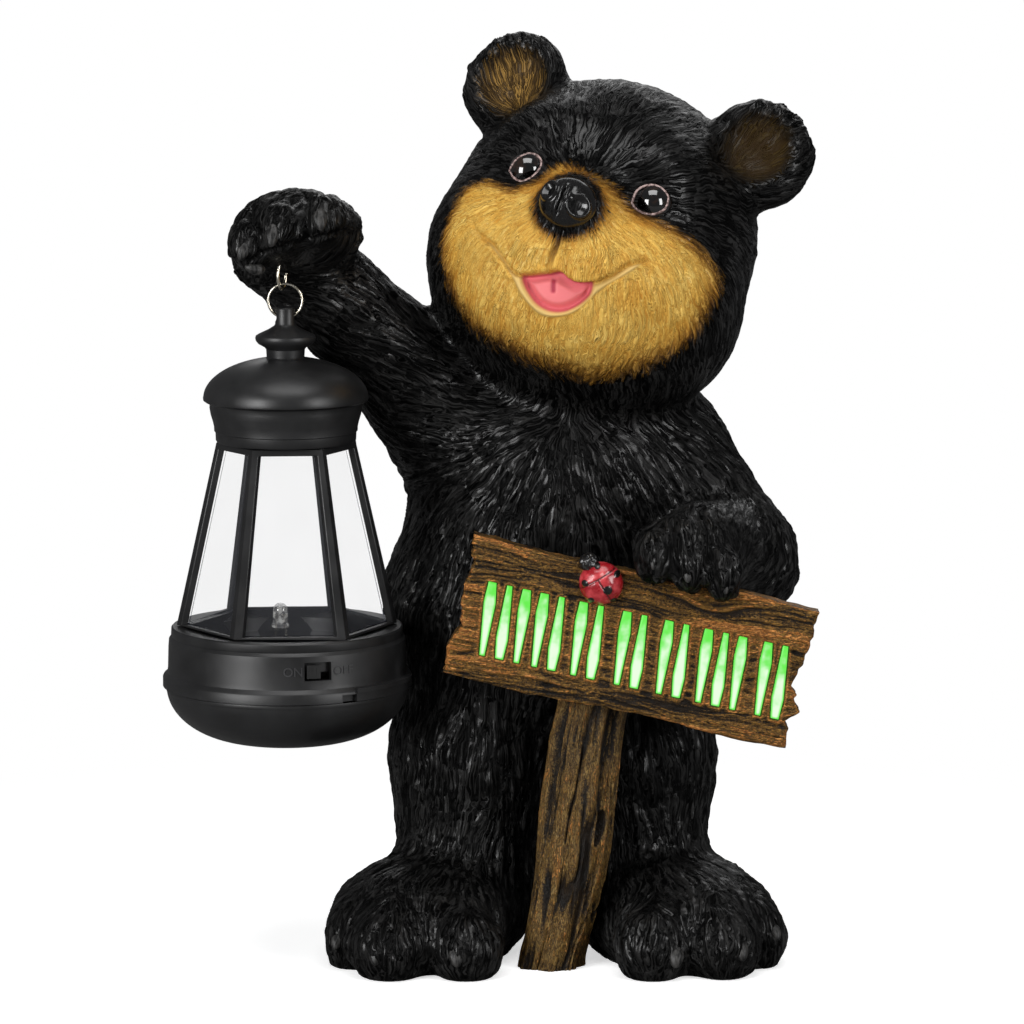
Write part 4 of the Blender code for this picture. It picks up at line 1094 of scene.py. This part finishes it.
def stained(name, along, grey=0.0):
    """Resin stained black-brown, sponged with ochre and brushed with orange on its crests."""
    wood = Finish(name, Specular_IOR_Level=0.25)
    spot = wood.place()
    grain = wood.stretched(spot, along)
    speck, cloud = wood.noise(spot, 1.5, 4.0, 0.7), wood.noise(spot, 0.1, 2.0)
    fibre, hairline = wood.noise(grain, 1.4, 3.0, 0.6), wood.noise(grain, 2.3, 2.0, 0.6)
    groove = 1 - ((hairline - 0.5) * 8).maths("ABSOLUTE").low(1)
    crest = wood.mark("crest")
    dark = cloud.rise(0.3, 0.7).blend((0.006, 0.0035, 0.0015), (0.022, 0.012, 0.004))
    ochre = (0.33 - 0.06 * grey, 0.175, 0.035 + 0.02 * grey)
    ochre = fibre.rise(0.3, 0.75).blend((0.17, 0.085, 0.014), ochre)
    sponged = crest * 0.5 + speck * 1.1 + fibre * 0.5 + cloud * 0.3
    colour = sponged.rise(0.52 + 0.08 * grey, 0.94 + 0.08 * grey).blend(dark, ochre)
    orange = fibre.rise(0.35, 0.7).blend((0.47, 0.17, 0.03), (0.84, 0.36, 0.1))
    brushed = (crest + (speck - 0.5) * 1.7 + (hairline - 0.5) * 1.6 + (cloud - 0.5) * 0.7)
    brushed = brushed.rise(0.12 + 0.28 * grey, 0.52 + 0.28 * grey)
    colour = (brushed * (0.9 - 0.1 * grey)).blend(colour, orange)
    colour = groove.blend(colour, (0.16, 0.13, 0.1), "MULTIPLY")
    wood.feed(Base_Color=colour, Roughness=brushed.rise(0, 1, 0.42, 0.6),
              Normal=wood.bump(fibre * 0.6 + speck * 0.5 - groove * 0.35, 0.35))
    return wood


plank_stain = stained("carved_wood", (0.22, 1.0, 1.0))
sign_board = cast("sign_board", "statue", plank_stain, board_mesh, 180)
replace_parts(sign_board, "sign_board")

# The milky strokes stand on a light panel that closes the plank's back. Each stroke is a bar
# with a gently domed face, clear of its window all round.
LENGTHWISE, CROSSWISE, CLEARANCE = 30, 11, 0.05
STROKE_BACK, STROKE_FACE, STROKE_DOME = 1.2, 3.65, 0.25
PANEL_HALF_LENGTH, PANEL_HALF_HEIGHT, PANEL_LEVELS, UNLIT = 53.2, 15.2, (-4.7, 0.5), -40.0
BOX_FACES = [(3, 2, 1, 0), (4, 5, 6, 7)] + woven(2, 4)
shapes, edges, heights = [], [], []
for middle, flip in strokes():
    centres_x, ups, halves = stroke_rows(middle, flip, LENGTHWISE)
    halves = halves - CLEARANCE
    share = np.linspace(-1, 1, CROSSWISE - 2)
    loop = np.concatenate(((-1,), share, (1,)))
    level = np.concatenate(((STROKE_BACK,), STROKE_FACE + STROKE_DOME * (1 - share ** 2), (STROKE_BACK,)))
    px = centres_x[:, None] + halves[:, None] * loop
    py = np.repeat(ups[:, None], CROSSWISE, axis=1)
    points = np.stack((px, py, np.repeat(level[None], LENGTHWISE, axis=0)), axis=-1)
    ends = np.arange(CROSSWISE)
    faces = woven(LENGTHWISE, CROSSWISE)
    faces += [ends[::-1].tolist(), (ends + (LENGTHWISE - 1) * CROSSWISE).tolist()]
    shapes.append((on_board(points[::flip].reshape(-1, 3)), faces))
    to_end = STROKE_HALF - np.abs(ups - STROKE_RISE)
    inset = np.minimum((1 - np.abs(loop))[None] * halves[:, None], to_end[:, None])
    edges.append(inset[::flip].ravel())
    heights.append(np.repeat((ups - STROKE_RISE)[::flip], CROSSWISE))
panel = np.array([(side * PANEL_HALF_LENGTH, STROKE_RISE + up * PANEL_HALF_HEIGHT, level)
                  for level in PANEL_LEVELS for side, up in ((-1, -1), (1, -1), (1, 1), (-1, 1))])
shapes.append((on_board(panel), BOX_FACES))
edges.append(np.zeros(len(panel)))
heights.append(np.full(len(panel), UNLIT))
milky = Finish("glowing_strokes", Roughness=0.35, Emission_Strength=1.0)
edge, tall = milky.mark("edge"), milky.mark("tall")
haze = milky.noise(milky.place(), 0.22, 2.0)
pale = edge.rise(0.05, 0.9) * (tall * -0.04 + haze * 1.3).rise(0.1, 0.85)
lit = tall.rise(-30, -20)
glow = pale.blend((0.12, 0.76, 0.06), (0.72, 0.88, 0.66))
milky.feed(Base_Color=pale.blend((0.02, 0.1, 0.02), (0.1, 0.14, 0.09)),
           Emission_Color=lit.blend((0.0, 0.0, 0.0), glow))
light_mesh = marked(gathered("sign_light", shapes), edge=np.concatenate(edges),
                    tall=np.concatenate(heights))
sign_light = cast("sign_light", "statue", milky, light_mesh, 35)
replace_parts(sign_light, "sign_light")

# ---------------------------------------------------------------- the post
# The branch that carries the plank, cast with it: long furrows of bark, a knot hole and a
# spread foot that stands on the table between the feet.
POST_TOP, POST_FOOT = np.array((37.5, -31.5, 97.0)), np.array((18.5, -38.0, 0.0))
POST_RADIUS, POST_BOW, POST_FLAT = 10.6, 1.8, 0.86
# The knot hole: where it is round the post and up it, its half sizes, its slant and its depth.
HOLE_TURN, HOLE_SHARE, HOLE_HALF, HOLE_SLANT, HOLE_DEPTH = math.radians(313), 0.485, (2.3, 5.6), 14, 4.2
STOREYS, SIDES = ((170, 138))
share, around = np.meshgrid(np.linspace(0, 1, STOREYS), turns_of(SIDES), indexing="ij")
ridge = 0.9 * np.sin(4 * around + 2.2 * share) + 0.5 * np.sin(7 * around - 3 * share)
spread = 2.6 * np.exp(-share / 0.05) * np.maximum(0, np.cos(around - 0.3))
swell = 1.4 * np.sin(math.pi * np.minimum(share * 1.15, 1)) - 1.2 * (1 - share)
girth = np.stack((np.cos(around) * 4.2, np.sin(around) * 4.2, share * 2.6), axis=-1).reshape(-1, 3)
turned_by = around + (0.35 * soft_noise(girth).reshape(share.shape)
                      + 0.12 * soft_noise(girth * 2.3 + 7).reshape(share.shape))


def furrows(count, length, shift):
    """Noise around and along the branch, drawn out along it."""
    spots = (np.cos(turned_by) * count, np.sin(turned_by) * count, share * 100 / length + shift)
    return soft_noise(np.stack(spots, axis=-1).reshape(-1, 3)).reshape(share.shape)


deep, lines, fine = furrows(2.6, 42, 3), furrows(6.5, 26, 11), furrows(13, 12, 23)
hole = np.hypot(((around - HOLE_TURN) * 11.5 - (share - HOLE_SHARE) * HOLE_SLANT) / HOLE_HALF[0],
                (share - HOLE_SHARE) * 97 / HOLE_HALF[1])
lip = np.exp(-((hole - 1.25) / 0.28) ** 2)
crack = np.exp(-(deep / 0.11) ** 2)
relief = -1.5 * crack + 0.8 * (0.5 - np.abs(lines) * 2) + 0.3 * (0.5 - np.abs(fine) * 2) + 0.7 * lip
relief = relief * step_up(hole, 0.7, 1.1) - HOLE_DEPTH * (1 - step_up(hole, 0.55, 1.1))
radius = POST_RADIUS + ridge + spread + swell + relief
middle = POST_FOOT + share[..., None] * (POST_TOP - POST_FOOT)
middle[..., 0] += POST_BOW * np.sin(share * 5.5)
out = np.stack((np.cos(around), POST_FLAT * np.sin(around), 0 * around), axis=-1)
post = middle + radius[..., None] * out
index = np.arange(STOREYS * SIDES).reshape(STOREYS, SIDES)
beside_it = np.roll(index, -1, axis=1)
faces = np.stack((index[:-1], beside_it[:-1], beside_it[1:], index[1:]), axis=-1).reshape(-1, 4).tolist()
faces += [index[0, ::-1].tolist(), index[-1].tolist()]
crest = (0.8 * (0.5 - np.abs(lines) * 2) + 0.35 * (0.5 - np.abs(fine) * 2) - 1.2 * crack + 0.5 * lip
         - 3 * (1 - step_up(hole, 0.8, 1.15)))
post_mesh = marked(gathered("sign_post", [(post.reshape(-1, 3), faces)]), crest=crest.ravel())
bark_stain = stained("bark", (1.0, 1.0, 0.2), 1.0)
sign_post = cast("sign_post", "statue", bark_stain, post_mesh, 60)
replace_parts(sign_post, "sign_post")

# ---------------------------------------------------------------- the ladybug
# A small domed beetle cast on the plank's upper edge: red wing cases with raised black spots
# and a black head that points up to the left.
BEETLE, BEETLE_RADII, BEETLE_SUNK = np.array((-13.7, 17.2, BOARD_HALF_THICK + 0.3)), (7.2, 7.0, 5.6), -0.8
BEETLE_HEAD, HEAD_RADII = (-5.3, 5.7, 0), (3.3, 3.1, 3.3)
BEETLE_SPOTS = ((-2.6, 5.6, 1.1), (4.2, 4.4, 1.2), (2.3, -1.1, 1.55), (-2.1, -5.7, 1.15),
                (-5.3, -0.6, 1.15), (5.2, -4.4, 1.2))
ways, faces = globe(80, 58)
ways = ways[:, (0, 2, 1)] * (-1, 1, 1)
shell = ways * BEETLE_RADII
shell[:, 2] = np.maximum(shell[:, 2], BEETLE_SUNK)
bx, by = shell[:, 0], shell[:, 1]
tail_way = (bx * 0.68 - by * 0.73, bx * 0.73 + by * 0.68)
wing_line = np.where(tail_way[0] > -2.2, np.abs(tail_way[1]), 9)
neck_line = np.abs(tail_way[0] + 2.2)
spots = np.min([np.hypot(bx - sx, by - sy) - r for sx, sy, r in BEETLE_SPOTS], axis=0)
rise = -0.4 * np.exp(-(wing_line / 0.28) ** 2) - 0.4 * np.exp(-(neck_line / 0.28) ** 2)
rise += 0.3 * (1 - step_up(spots, -0.5, 0.15)) + 0.1 * soft_noise(shell / 1.7)
shell = shell + (rise * (shell[:, 2] > 0))[:, None] * ways
head_shape = ways * HEAD_RADII + BEETLE_HEAD
head_shape += (0.35 * soft_noise(head_shape / 0.9))[:, None] * ways
head_shape[:, 2] = np.maximum(head_shape[:, 2], BEETLE_SUNK)
beetle_mesh = gathered("ladybug", [(on_board(shape + BEETLE), faces) for shape in (shell, head_shape)])
marked(beetle_mesh, dot=np.concatenate((spots, np.full(len(ways), -3.0))),
       seam=np.concatenate((np.minimum(wing_line, neck_line), np.full(len(ways), 9.0))))
lacquer = Finish("ladybug_red", Coat_Weight=0.35, Coat_Roughness=0.15)
streaks_and_sheen = lacquer.noise(lacquer.place(), 0.32, 3.0)
red = streaks_and_sheen.rise(0.38, 0.7).blend((0.3, 0.008, 0.014), (0.62, 0.06, 0.07))
# The red's streaks vary its tone, and where they peak they turn pale pink: a painted sheen on the lacquer.
red = streaks_and_sheen.rise(0.62, 0.78).blend(red, (0.8, 0.36, 0.34))
red = lacquer.mark("seam").rise(0.05, 0.45).blend((0.05, 0.003, 0.004), red)
dark = lacquer.noise(lacquer.place(), 1.8, 2.0).rise(0.62, 0.74)
dark = dark.blend((0.004, 0.004, 0.004), (0.07, 0.055, 0.04))
dark = lacquer.mark("dot").rise(-2.9, -2.5).blend(dark, (0.004, 0.004, 0.004))
black_dot = 1 - lacquer.mark("dot").rise(-0.22, 0.05)
lacquer.feed(Base_Color=black_dot.blend(red, dark), Roughness=streaks_and_sheen.rise(0.3, 0.7, 0.24, 0.38))
ladybug = cast("ladybug", "statue", lacquer, beetle_mesh, 180)
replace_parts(ladybug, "ladybug")

# ---------------------------------------------------------------- the lantern's cap
# The cap of black polypropylene is one moulding: a lug with a cross hole, a small skirt, a
# dome with a rolled rim and a collar that grips the ribs.
LANTERN_X, LANTERN_Y = -67.0, -28.0


def lathe(profile, steps=96):
    """Turns a closed profile of (radius, height) pairs round the lantern's axis."""
    profile, around = np.array(profile), turns_of(steps)
    points = np.stack((np.cos(around)[:, None] * profile[:, 0] + LANTERN_X,
                       np.sin(around)[:, None] * profile[:, 0] + LANTERN_Y,
                       np.repeat(profile[None, :, 1], steps, axis=0)), axis=-1).reshape(-1, 3)
    count = len(profile)
    faces = [(a * count + i, (a + 1) % steps * count + i, (a + 1) % steps * count + (i + 1) % count,
              a * count + (i + 1) % count) for a in range(steps) for i in range(count)]
    return points, faces


def tidied(mesh):
    """Joins the points that lie on the axis and drops the faces that this leaves flat."""
    work = bmesh.new()
    work.from_mesh(mesh)
    bmesh.ops.remove_doubles(work, verts=work.verts, dist=2e-6)
    bmesh.ops.dissolve_degenerate(work, dist=1e-7, edges=work.edges)
    bmesh.ops.recalc_face_normals(work, faces=work.faces)
    work.to_mesh(mesh)
    work.free()
    return mesh


def carve_out(thing, shape, operation="DIFFERENCE", place=Matrix()):
    """Takes a shape out of a piece, or adds it."""
    tool = link(bpy.data.objects.new("tool", tidied(gathered("tool", [shape]))))
    tool.matrix_world = place
    step = thing.modifiers.new("step", "BOOLEAN")
    step.operation, step.object, step.solver = operation, tool, "EXACT"
    bpy.context.view_layer.update()
    made = bpy.data.meshes.new_from_object(thing.evaluated_get(bpy.context.evaluated_depsgraph_get()))
    thing.modifiers.clear()
    thing.data = made
    bpy.data.objects.remove(tool)


def smoothed(mesh, sharp_from):
    mesh.shade_smooth()
    mesh.set_sharp_from_angle(angle=math.radians(sharp_from))


def moulded(name, roughness, grain=0.03, tint=(0.0075, 0.0075, 0.0078)):
    """Black plastic with a fine spark-eroded grain and a little dust on it."""
    plastic = Finish(name, Specular_IOR_Level=0.5)
    spot = plastic.place()
    spark, cloud = plastic.noise(spot, 3.2, 2.0), plastic.noise(spot, 0.08, 3.0)
    plastic.feed(Base_Color=cloud.rise(0.35, 0.7).blend(tint, tuple(1.7 * part for part in tint)),
                 Roughness=cloud.rise(0.3, 0.7, roughness - 0.04, roughness + 0.05),
                 Normal=plastic.bump(spark, grain))
    return plastic


satin = moulded("black_plastic", 0.4)
dome_arc = [(27 * math.cos(a), 188 + 13.4 * math.sin(a)) for a in np.linspace(math.radians(76), 0.06, 26)]
cap_outside = [(0.0, 217.7), (2.9, 217.7), (3.3, 217.2), (3.35, 212.2), (3.7, 211.6), (5.6, 210.4),
               (8.8, 208.9), (9.7, 208.3), (9.9, 207.6), (9.7, 206.7), (8.9, 205.7), (6.9, 204.6),
               (6.35, 203.9), (6.2, 201.4)] + dome_arc
cap_collar = [(27.1, 188.0), (27.0, 187.3), (26.3, 186.8), (25.2, 186.5), (24.95, 186.0), (25.0, 184.8),
              (24.6, 182.5), (23.9, 180.2), (23.55, 178.6), (23.5, 177.2), (23.1, 176.9), (23.0, 174.2),
              (22.7, 173.7), (21.3, 173.7), (23.4, 187.0)]
cap_inside = [(24.4 * math.cos(a), 188 + 11.8 * math.sin(a)) for a in np.linspace(0.1, 1.45, 12)]
cap_mesh = gathered("lantern_cap", [lathe(cap_outside + cap_collar + cap_inside + [(0.0, 199.8)])])
cap = cast("lantern_cap", "lantern", satin, tidied(cap_mesh), 30)
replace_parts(cap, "lantern_cap")
# The bore is turned from the same lathe, laid across the lug and taken out of it.
BORE_RADIUS, BORE_HALF, BORE_Z = 1.75, 8, 214.6
bore = lathe([(0, -BORE_HALF), (BORE_RADIUS, -BORE_HALF), (BORE_RADIUS, BORE_HALF), (0, BORE_HALF)], 32)
laid = (Matrix.Translation(Vector((LANTERN_X, LANTERN_Y, BORE_Z)) * MM) @ Matrix.Rotation(math.pi / 2, 4, "Y")
        @ Matrix.Translation(Vector((-LANTERN_X, -LANTERN_Y, 0)) * MM))
carve_out(cap, bore, place=laid)
smoothed(cap.data, 30)

# ---------------------------------------------------------------- the cage and its panes
# Six flat ribs bent at the corners of a hexagon stand between two rails, and a clear
# polystyrene sleeve of six panes stands just inside them.
COLLAR_Z, COLLAR_RADIUS, BASE_TOP_Z, BASE_RADIUS, CAGE_THICK = 173.7, 22.8, 112.6, 38.3, 2.2
CORNERS = [math.radians(60 * i + 4) for i in range(6)]


def corner(index, radius, height):
    angle = CORNERS[index % 6]
    return np.array((LANTERN_X + radius * math.cos(angle), LANTERN_Y + radius * math.sin(angle), height))


def beam(section_low, section_high):
    """A closed bar between two four-cornered sections."""
    return np.vstack((section_low, section_high)), BOX_FACES


def cage_ring(height, radius, tall, slope):
    """A hexagonal rail of the cage; slope is how much it narrows over its height."""
    points = np.array([corner(i, r, z) for i in range(6) for r, z in (
        (radius, height), (radius - slope, height + tall), (radius - slope - CAGE_THICK, height + tall),
        (radius - CAGE_THICK, height))])
    return points, [(4 * i + k, (4 * i + 4) % 24 + k, (4 * i + 4) % 24 + (k + 1) % 4, 4 * i + (k + 1) % 4)
                    for i in range(6) for k in range(4)]


shapes = [cage_ring(BASE_TOP_Z + 0.3, BASE_RADIUS - 2, 0.7, 0.15),
          cage_ring(COLLAR_Z - 2.5, COLLAR_RADIUS + 0.5, 2.2, 0.5)]
# A rib's radius, height and the half width of its leaf, at its foot and at its top.
RIB_ENDS = ((BASE_RADIUS - 2, BASE_TOP_Z + 0.3, 2.7), (COLLAR_RADIUS, COLLAR_Z - 0.3, 2.0))
for index in range(6):
    ends = []
    for radius, height, half in RIB_ENDS:
        rim, back = corner(index, radius, height), corner(index, radius - CAGE_THICK, height)
        leaf = [half * unit((corner(index + way, radius, height) - rim)[None])[0] for way in (1, -1)]
        ends.append([rim, back] + [place + along for along in leaf for place in (rim, back)])
    (rim, back, *sides), (top_rim, top_back, *top_sides) = ends
    for near, far in ((0, 1), (2, 3)):
        low = np.array([rim, sides[near], sides[far], back])
        high = np.array([top_rim, top_sides[near], top_sides[far], top_back])
        shapes.append(beam(low, high))


def softened(thing, width, sharp_from):
    """Rounds a moulding's sharp edges."""
    soften = thing.modifiers.new("edges", "BEVEL")
    soften.width, soften.segments = width * MM, 2
    soften.limit_method, soften.angle_limit = "ANGLE", math.radians(sharp_from)


cage_mesh = tidied(gathered("lantern_cage", shapes))
cage = cast("lantern_cage", "lantern", satin, cage_mesh, 20)
softened(cage, 0.25, 35)
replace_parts(cage, "lantern_cage")

glass = Finish("clear_panes", Roughness=0.03, Specular_IOR_Level=0.6)
edge, haze = glass.mark("edge"), glass.noise(glass.place(), 0.05, 2.0)
glass.feed(Base_Color=edge.rise(0, 1).blend((0.3, 0.31, 0.34), (0.2, 0.23, 0.33)),
           Alpha=edge.rise(0.2, 1, 0.02, 0.6) + haze * 0.03)
# The sleeve has an outer and an inner wall, closed at the foot and the top. Its corners and
# its rims, where the plastic is seen edge on, are marked for a stronger tint.
points, edges = [], []
slope = (COLLAR_RADIUS - BASE_RADIUS + 2) / (COLLAR_Z - BASE_TOP_Z)
HEIGHTS = (112.9, 113.5, 114.3, 140, 176.9, 177.3, 177.7)
SHARES, PANE_GAP, PANE_THICK = (0, 0.035, 0.5, 0.965), 0.6, 1.0
for inset in (0.0, PANE_THICK):
    for height in HEIGHTS:
        radius = COLLAR_RADIUS - CAGE_THICK - PANE_GAP - inset + slope * (height - COLLAR_Z)
        for index in range(6):
            here, after = corner(index, radius, height), corner(index + 1, radius, height)
            for share in SHARES:
                points.append(here + share * (after - here))
                edges.append(1.0 if share == 0 or height in (HEIGHTS[0], HEIGHTS[-1]) else 0.0)
width, storeys = 6 * len(SHARES), len(HEIGHTS)
faces = woven(storeys, width) + [face[::-1] for face in woven(storeys, width, storeys * width)]
for storey, way in ((0, -1), (storeys - 1, 1)):
    a, b = storey * width, (storeys + storey) * width
    faces += [(a + index, a + (index + 1) % width, b + (index + 1) % width, b + index)[::way]
              for index in range(width)]
pane_mesh = marked(gathered("lantern_glazing", [(np.array(points), faces)]), edge=edges)
panes = cast("lantern_glazing", "lantern", glass, pane_mesh)
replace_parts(panes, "lantern_glazing")

# ---------------------------------------------------------------- the base, bowl and switch
# The drum carries the light's works: a glossy tray let into its top, a flange with the stop
# of the twist-off bowl, and a slide switch with ON and OFF raised beside it.
SWITCH_TURN, SWITCH_Z, DRUM_RADIUS = math.radians(17 - 90), 103.5, 39.2
drum_outside = [(0.0, 104.6), (27.7, 104.6), (27.7, 110.6), (30.2, 112.0), (36.0, 112.6), (37.6, 112.6),
                (38.1, 112.1), (38.2, 109.9), (38.05, 109.5), (38.4, 109.1), (38.9, 108.4), (39.1, 106),
                (39.3, 99.0), (39.5, 97.6), (39.9, 97.1), (40.7, 96.5), (41.0, 95.9), (41.0, 93.0)]
drum_inside = [(37.6, 93.0), (37.0, 103.0), (0.0, 103.0)]
drum = tidied(gathered("lantern_base", [lathe(drum_outside + drum_inside, 144)]))
base = cast("lantern_base", "lantern", satin, drum, 28)


def on_drum(radius, turn_mm, height):
    """A place on the drum's wall, some millimetres round from the switch's middle."""
    angle = SWITCH_TURN + turn_mm / DRUM_RADIUS
    return np.array((LANTERN_X + radius * math.cos(angle), LANTERN_Y + radius * math.sin(angle), height))


def wall_block(turn_from, turn_to, low, high, inner, outer, parts=6):
    """A closed block that follows the drum's wall."""
    section = ((inner, low), (outer, low), (outer, high), (inner, high))
    turns = np.linspace(turn_from, turn_to, parts + 1)
    points = [on_drum(r, along, z) for along in turns for r, z in section]
    faces = woven(parts + 1, 4) + [(0, 1, 2, 3), tuple(4 * parts + k for k in (3, 2, 1, 0))]
    return np.array(points), faces


# The switch's slot, the notch in the flange and the raised stop beside it.
carve_out(base, wall_block(-4.5, 4.5, SWITCH_Z - 3, SWITCH_Z + 3, 36.8, 44))
carve_out(base, wall_block(7.6, 12.8, 91, 95.4, 39.0, 44))
carve_out(base, wall_block(12.4, 42, 95.9, 97.4, 39.9, 42, 16), "UNION")
smoothed(base.data, 28)
softened(base, 0.2, 40)
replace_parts(base, "lantern_base")

# The two words are moulded proud of the wall, bent round it.
LETTER_SIZE, LETTER_RISE, LETTER_RADIUS, LETTER_FOOT = 4.1, 0.22, 39.28, 1.4
letters = []
for word, turn_mm in (("ON", -8.2), ("OFF", 8.8)):
    curve = bpy.data.curves.new(word, "FONT")
    curve.body, curve.size, curve.extrude, curve.align_x = word, LETTER_SIZE, LETTER_RISE, "CENTER"
    writing = link(bpy.data.objects.new(word, curve))
    bpy.context.view_layer.update()
    flat = bpy.data.meshes.new_from_object(writing.evaluated_get(bpy.context.evaluated_depsgraph_get()))
    bent = np.array([on_drum(LETTER_RADIUS + z, turn_mm + x, SWITCH_Z - LETTER_FOOT + y)
                     for x, y, z in read_vectors(flat.vertices, "co")])
    letters.append((bent, [tuple(face.vertices) for face in flat.polygons]))
    bpy.data.objects.remove(writing)
raised_black = moulded("raised_black", 0.5, 0.02, (0.022, 0.022, 0.023))
letter_mesh = tidied(gathered("switch_lettering", letters))
marks = cast("switch_lettering", "lantern", raised_black, letter_mesh, 30)
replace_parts(marks, "lantern_base")

knob_black = moulded("switch_black", 0.55, 0.05, (0.003, 0.003, 0.003))
knob_parts = [wall_block(-3.7, 0.7, SWITCH_Z - 2.2, SWITCH_Z + 2.2, 38.3, 39.7)]
knob_parts += [wall_block(-3.4 + rib, -2.9 + rib, SWITCH_Z - 2.0, SWITCH_Z + 2.0, 39.5, 39.85, 1)
               for rib in (0.4, 1.6, 2.8)]
knob_mesh = tidied(gathered("switch_knob", knob_parts))
knob = cast("switch_knob", "switch", knob_black, knob_mesh, 25)
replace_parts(knob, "switch_knob")

# The bowl has a flat bottom and a wall that rises in a quarter of an ellipse.
BOWL_FLAT, BOWL_FLOOR, BOWL_TURNED = 13.4, (74.5, 76.1), 128


def bowl_wall(wide, tall, floor, angles):
    return [(BOWL_FLAT + wide * math.cos(a), floor + tall * (1 - math.sin(a))) for a in angles]


bowl_outside = bowl_wall(26.4, 18.0, BOWL_FLOOR[0], np.linspace(math.pi / 2, 0, 28))[:-1]
bowl_inside = bowl_wall(24.8, 16.4, BOWL_FLOOR[1], np.linspace(0, math.pi / 2, 14))
bowl_lip = [(39.8, 91.2), (40.0, 91.9), (39.9, 92.6)]
bowl_profile = [(0.0, BOWL_FLOOR[0])] + bowl_outside + bowl_lip + bowl_inside + [(0.0, BOWL_FLOOR[1])]
bowl_mesh = tidied(gathered("lantern_bowl", [lathe(bowl_profile, BOWL_TURNED)]))
bowl = cast("lantern_bowl", "lantern", satin, bowl_mesh, 30)
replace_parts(bowl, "lantern_bowl")

# The glossy hexagonal tray that the light stands in lines the hollow in the drum's top.
TRAY = ((35.0, 112.75), (33.6, 113.3), (33.0, 112.7), (31.0, 105.9), (10.0, 105.3), (6.0, 106.0))
tray_points = [corner(index, radius * (0.985 if radius > 20 else 0.9), height)
               for radius, height in TRAY for index in range(6)]
tray_faces = woven(len(TRAY), 6) + [tuple(range(6 * len(TRAY) - 6, 6 * len(TRAY)))]
lacquered = moulded("glossy_black", 0.12, 0.0, (0.004, 0.004, 0.005))
tray_mesh = gathered("lantern_tray", [(np.array(tray_points), tray_faces)])
tray = cast("lantern_tray", "lantern", lacquered, tray_mesh, 20)
thick = tray.modifiers.new("wall", "SOLIDIFY")
thick.thickness, thick.offset = 0.5 * MM, 1
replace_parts(tray, "lantern_base")

# ---------------------------------------------------------------- the light
# A clear 5 mm light-emitting diode on its two legs stands in the middle of the tray.
LED_X, LED_RADIUS, LED_SHOULDER = -2.2, 2.5, 117.4
LEG_HALF, LEG_FOOT, LEG_TOP = 0.3, 105.2, 116.2
LED_LEGS = ((-1.3, -0.5), (1.3, 0.9))
dome = [(LED_RADIUS * math.cos(a), LED_SHOULDER + LED_RADIUS * math.sin(a))
        for a in np.linspace(0, math.pi / 2, 14)]
bulb_profile = [(0.0, 111.9), (2.9, 111.9), (2.95, 112.2), (2.9, 112.8), (2.5, 112.95)] + dome
bulb_points, bulb_faces = lathe(bulb_profile, 40)
resin = Finish("led", Roughness=0.04, Specular_IOR_Level=0.9, Coat_Weight=0.6)
# The clear resin is painted with grey-white patches that stand for the glints of light inside it: painted
# reflection.
swirl_and_glints = resin.noise(resin.place(), 0.6, 2.0)
resin.feed(Base_Color=swirl_and_glints.rise(0.35, 0.65).blend((0.12, 0.12, 0.13), (0.6, 0.6, 0.58)),
           Alpha=swirl_and_glints.rise(0.3, 0.7, 0.3, 0.6))
bulb_mesh = tidied(gathered("lantern_led", [(bulb_points + (LED_X, 0, 0), bulb_faces)]))
led = cast("lantern_led", "lantern", resin, bulb_mesh, 40)
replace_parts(led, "lantern_led")
tinned = Finish("steel", Metallic=1.0)
scuff = tinned.noise(tinned.place(), 0.9, 3.0)
tinned.feed(Base_Color=scuff.rise(0.3, 0.7).blend((0.62, 0.56, 0.44), (0.86, 0.82, 0.72)),
            Roughness=scuff.rise(0.3, 0.7, 0.14, 0.3))
# Each square leg ends inside the bulb in a small cup, wider at its top.
square = np.array([(-1, -1, 0), (1, -1, 0), (1, 1, 0), (-1, 1, 0)]) * LEG_HALF
leg_shapes = []
for x, bend in LED_LEGS:
    top = np.array((x, 0, LEG_TOP))
    leg = beam(square + (x + bend, 0, LEG_FOOT), square + top)
    cup = beam(square * (2.2, 2.2, 1) + top - (0, 0, 1.5), square * (3.2, 2.2, 1) + top)
    leg_shapes += [(places + (LANTERN_X + LED_X, LANTERN_Y, 0), faces) for places, faces in (leg, cup)]
legs = cast("led_legs", "lantern", tinned, gathered("led_legs", leg_shapes), 30)
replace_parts(legs, "lantern_led")

# ---------------------------------------------------------------- the ring and its link
# A split ring of plated steel wire, two turns thick, joins the lug to an oval link that is
# cast into the paw.
RING_RADIUS, SWING_Z = 5.5, 214.3


def wire_ring(radius, wire, turns, rise, stretch=1.0, tilt=0.0, steps=160, sides=14):
    """An open coil of wire in the XZ plane, turned about the upright axis by tilt."""
    way = np.linspace(0, 2 * math.pi * turns, steps)
    line = np.stack((radius * np.cos(way), rise * (way / way[-1] - 0.5),
                     radius * stretch * np.sin(way)), axis=-1)
    ahead = unit(np.gradient(line, axis=0))
    points = hoops(line, wire, ahead, unit(np.cross(ahead, (0.0, 1.0, 0.0))), sides)
    faces = woven(steps, sides)
    faces += [tuple(range(sides - 1, -1, -1)), tuple(range((steps - 1) * sides, steps * sides))]
    return points @ turn(z=tilt).T, faces


points, faces = wire_ring(RING_RADIUS + 0.05, 0.44, 1.85, 0.95)
points += (LANTERN_X, LANTERN_Y, SWING_Z + RING_RADIUS)
ring = cast("split_ring", "statue", tinned, gathered("split_ring", [(points, faces)]), 50)
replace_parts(ring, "split_ring")
points, faces = wire_ring(2.6, 0.55, 0.985, 0.3, 1.75, 62)
points += (LANTERN_X - 1, LANTERN_Y, SWING_Z + 2 * RING_RADIUS + 2.9)
loop = cast("hanging_link", "statue", tinned, gathered("hanging_link", [(points, faces)]), 50)
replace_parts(loop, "hanging_link")
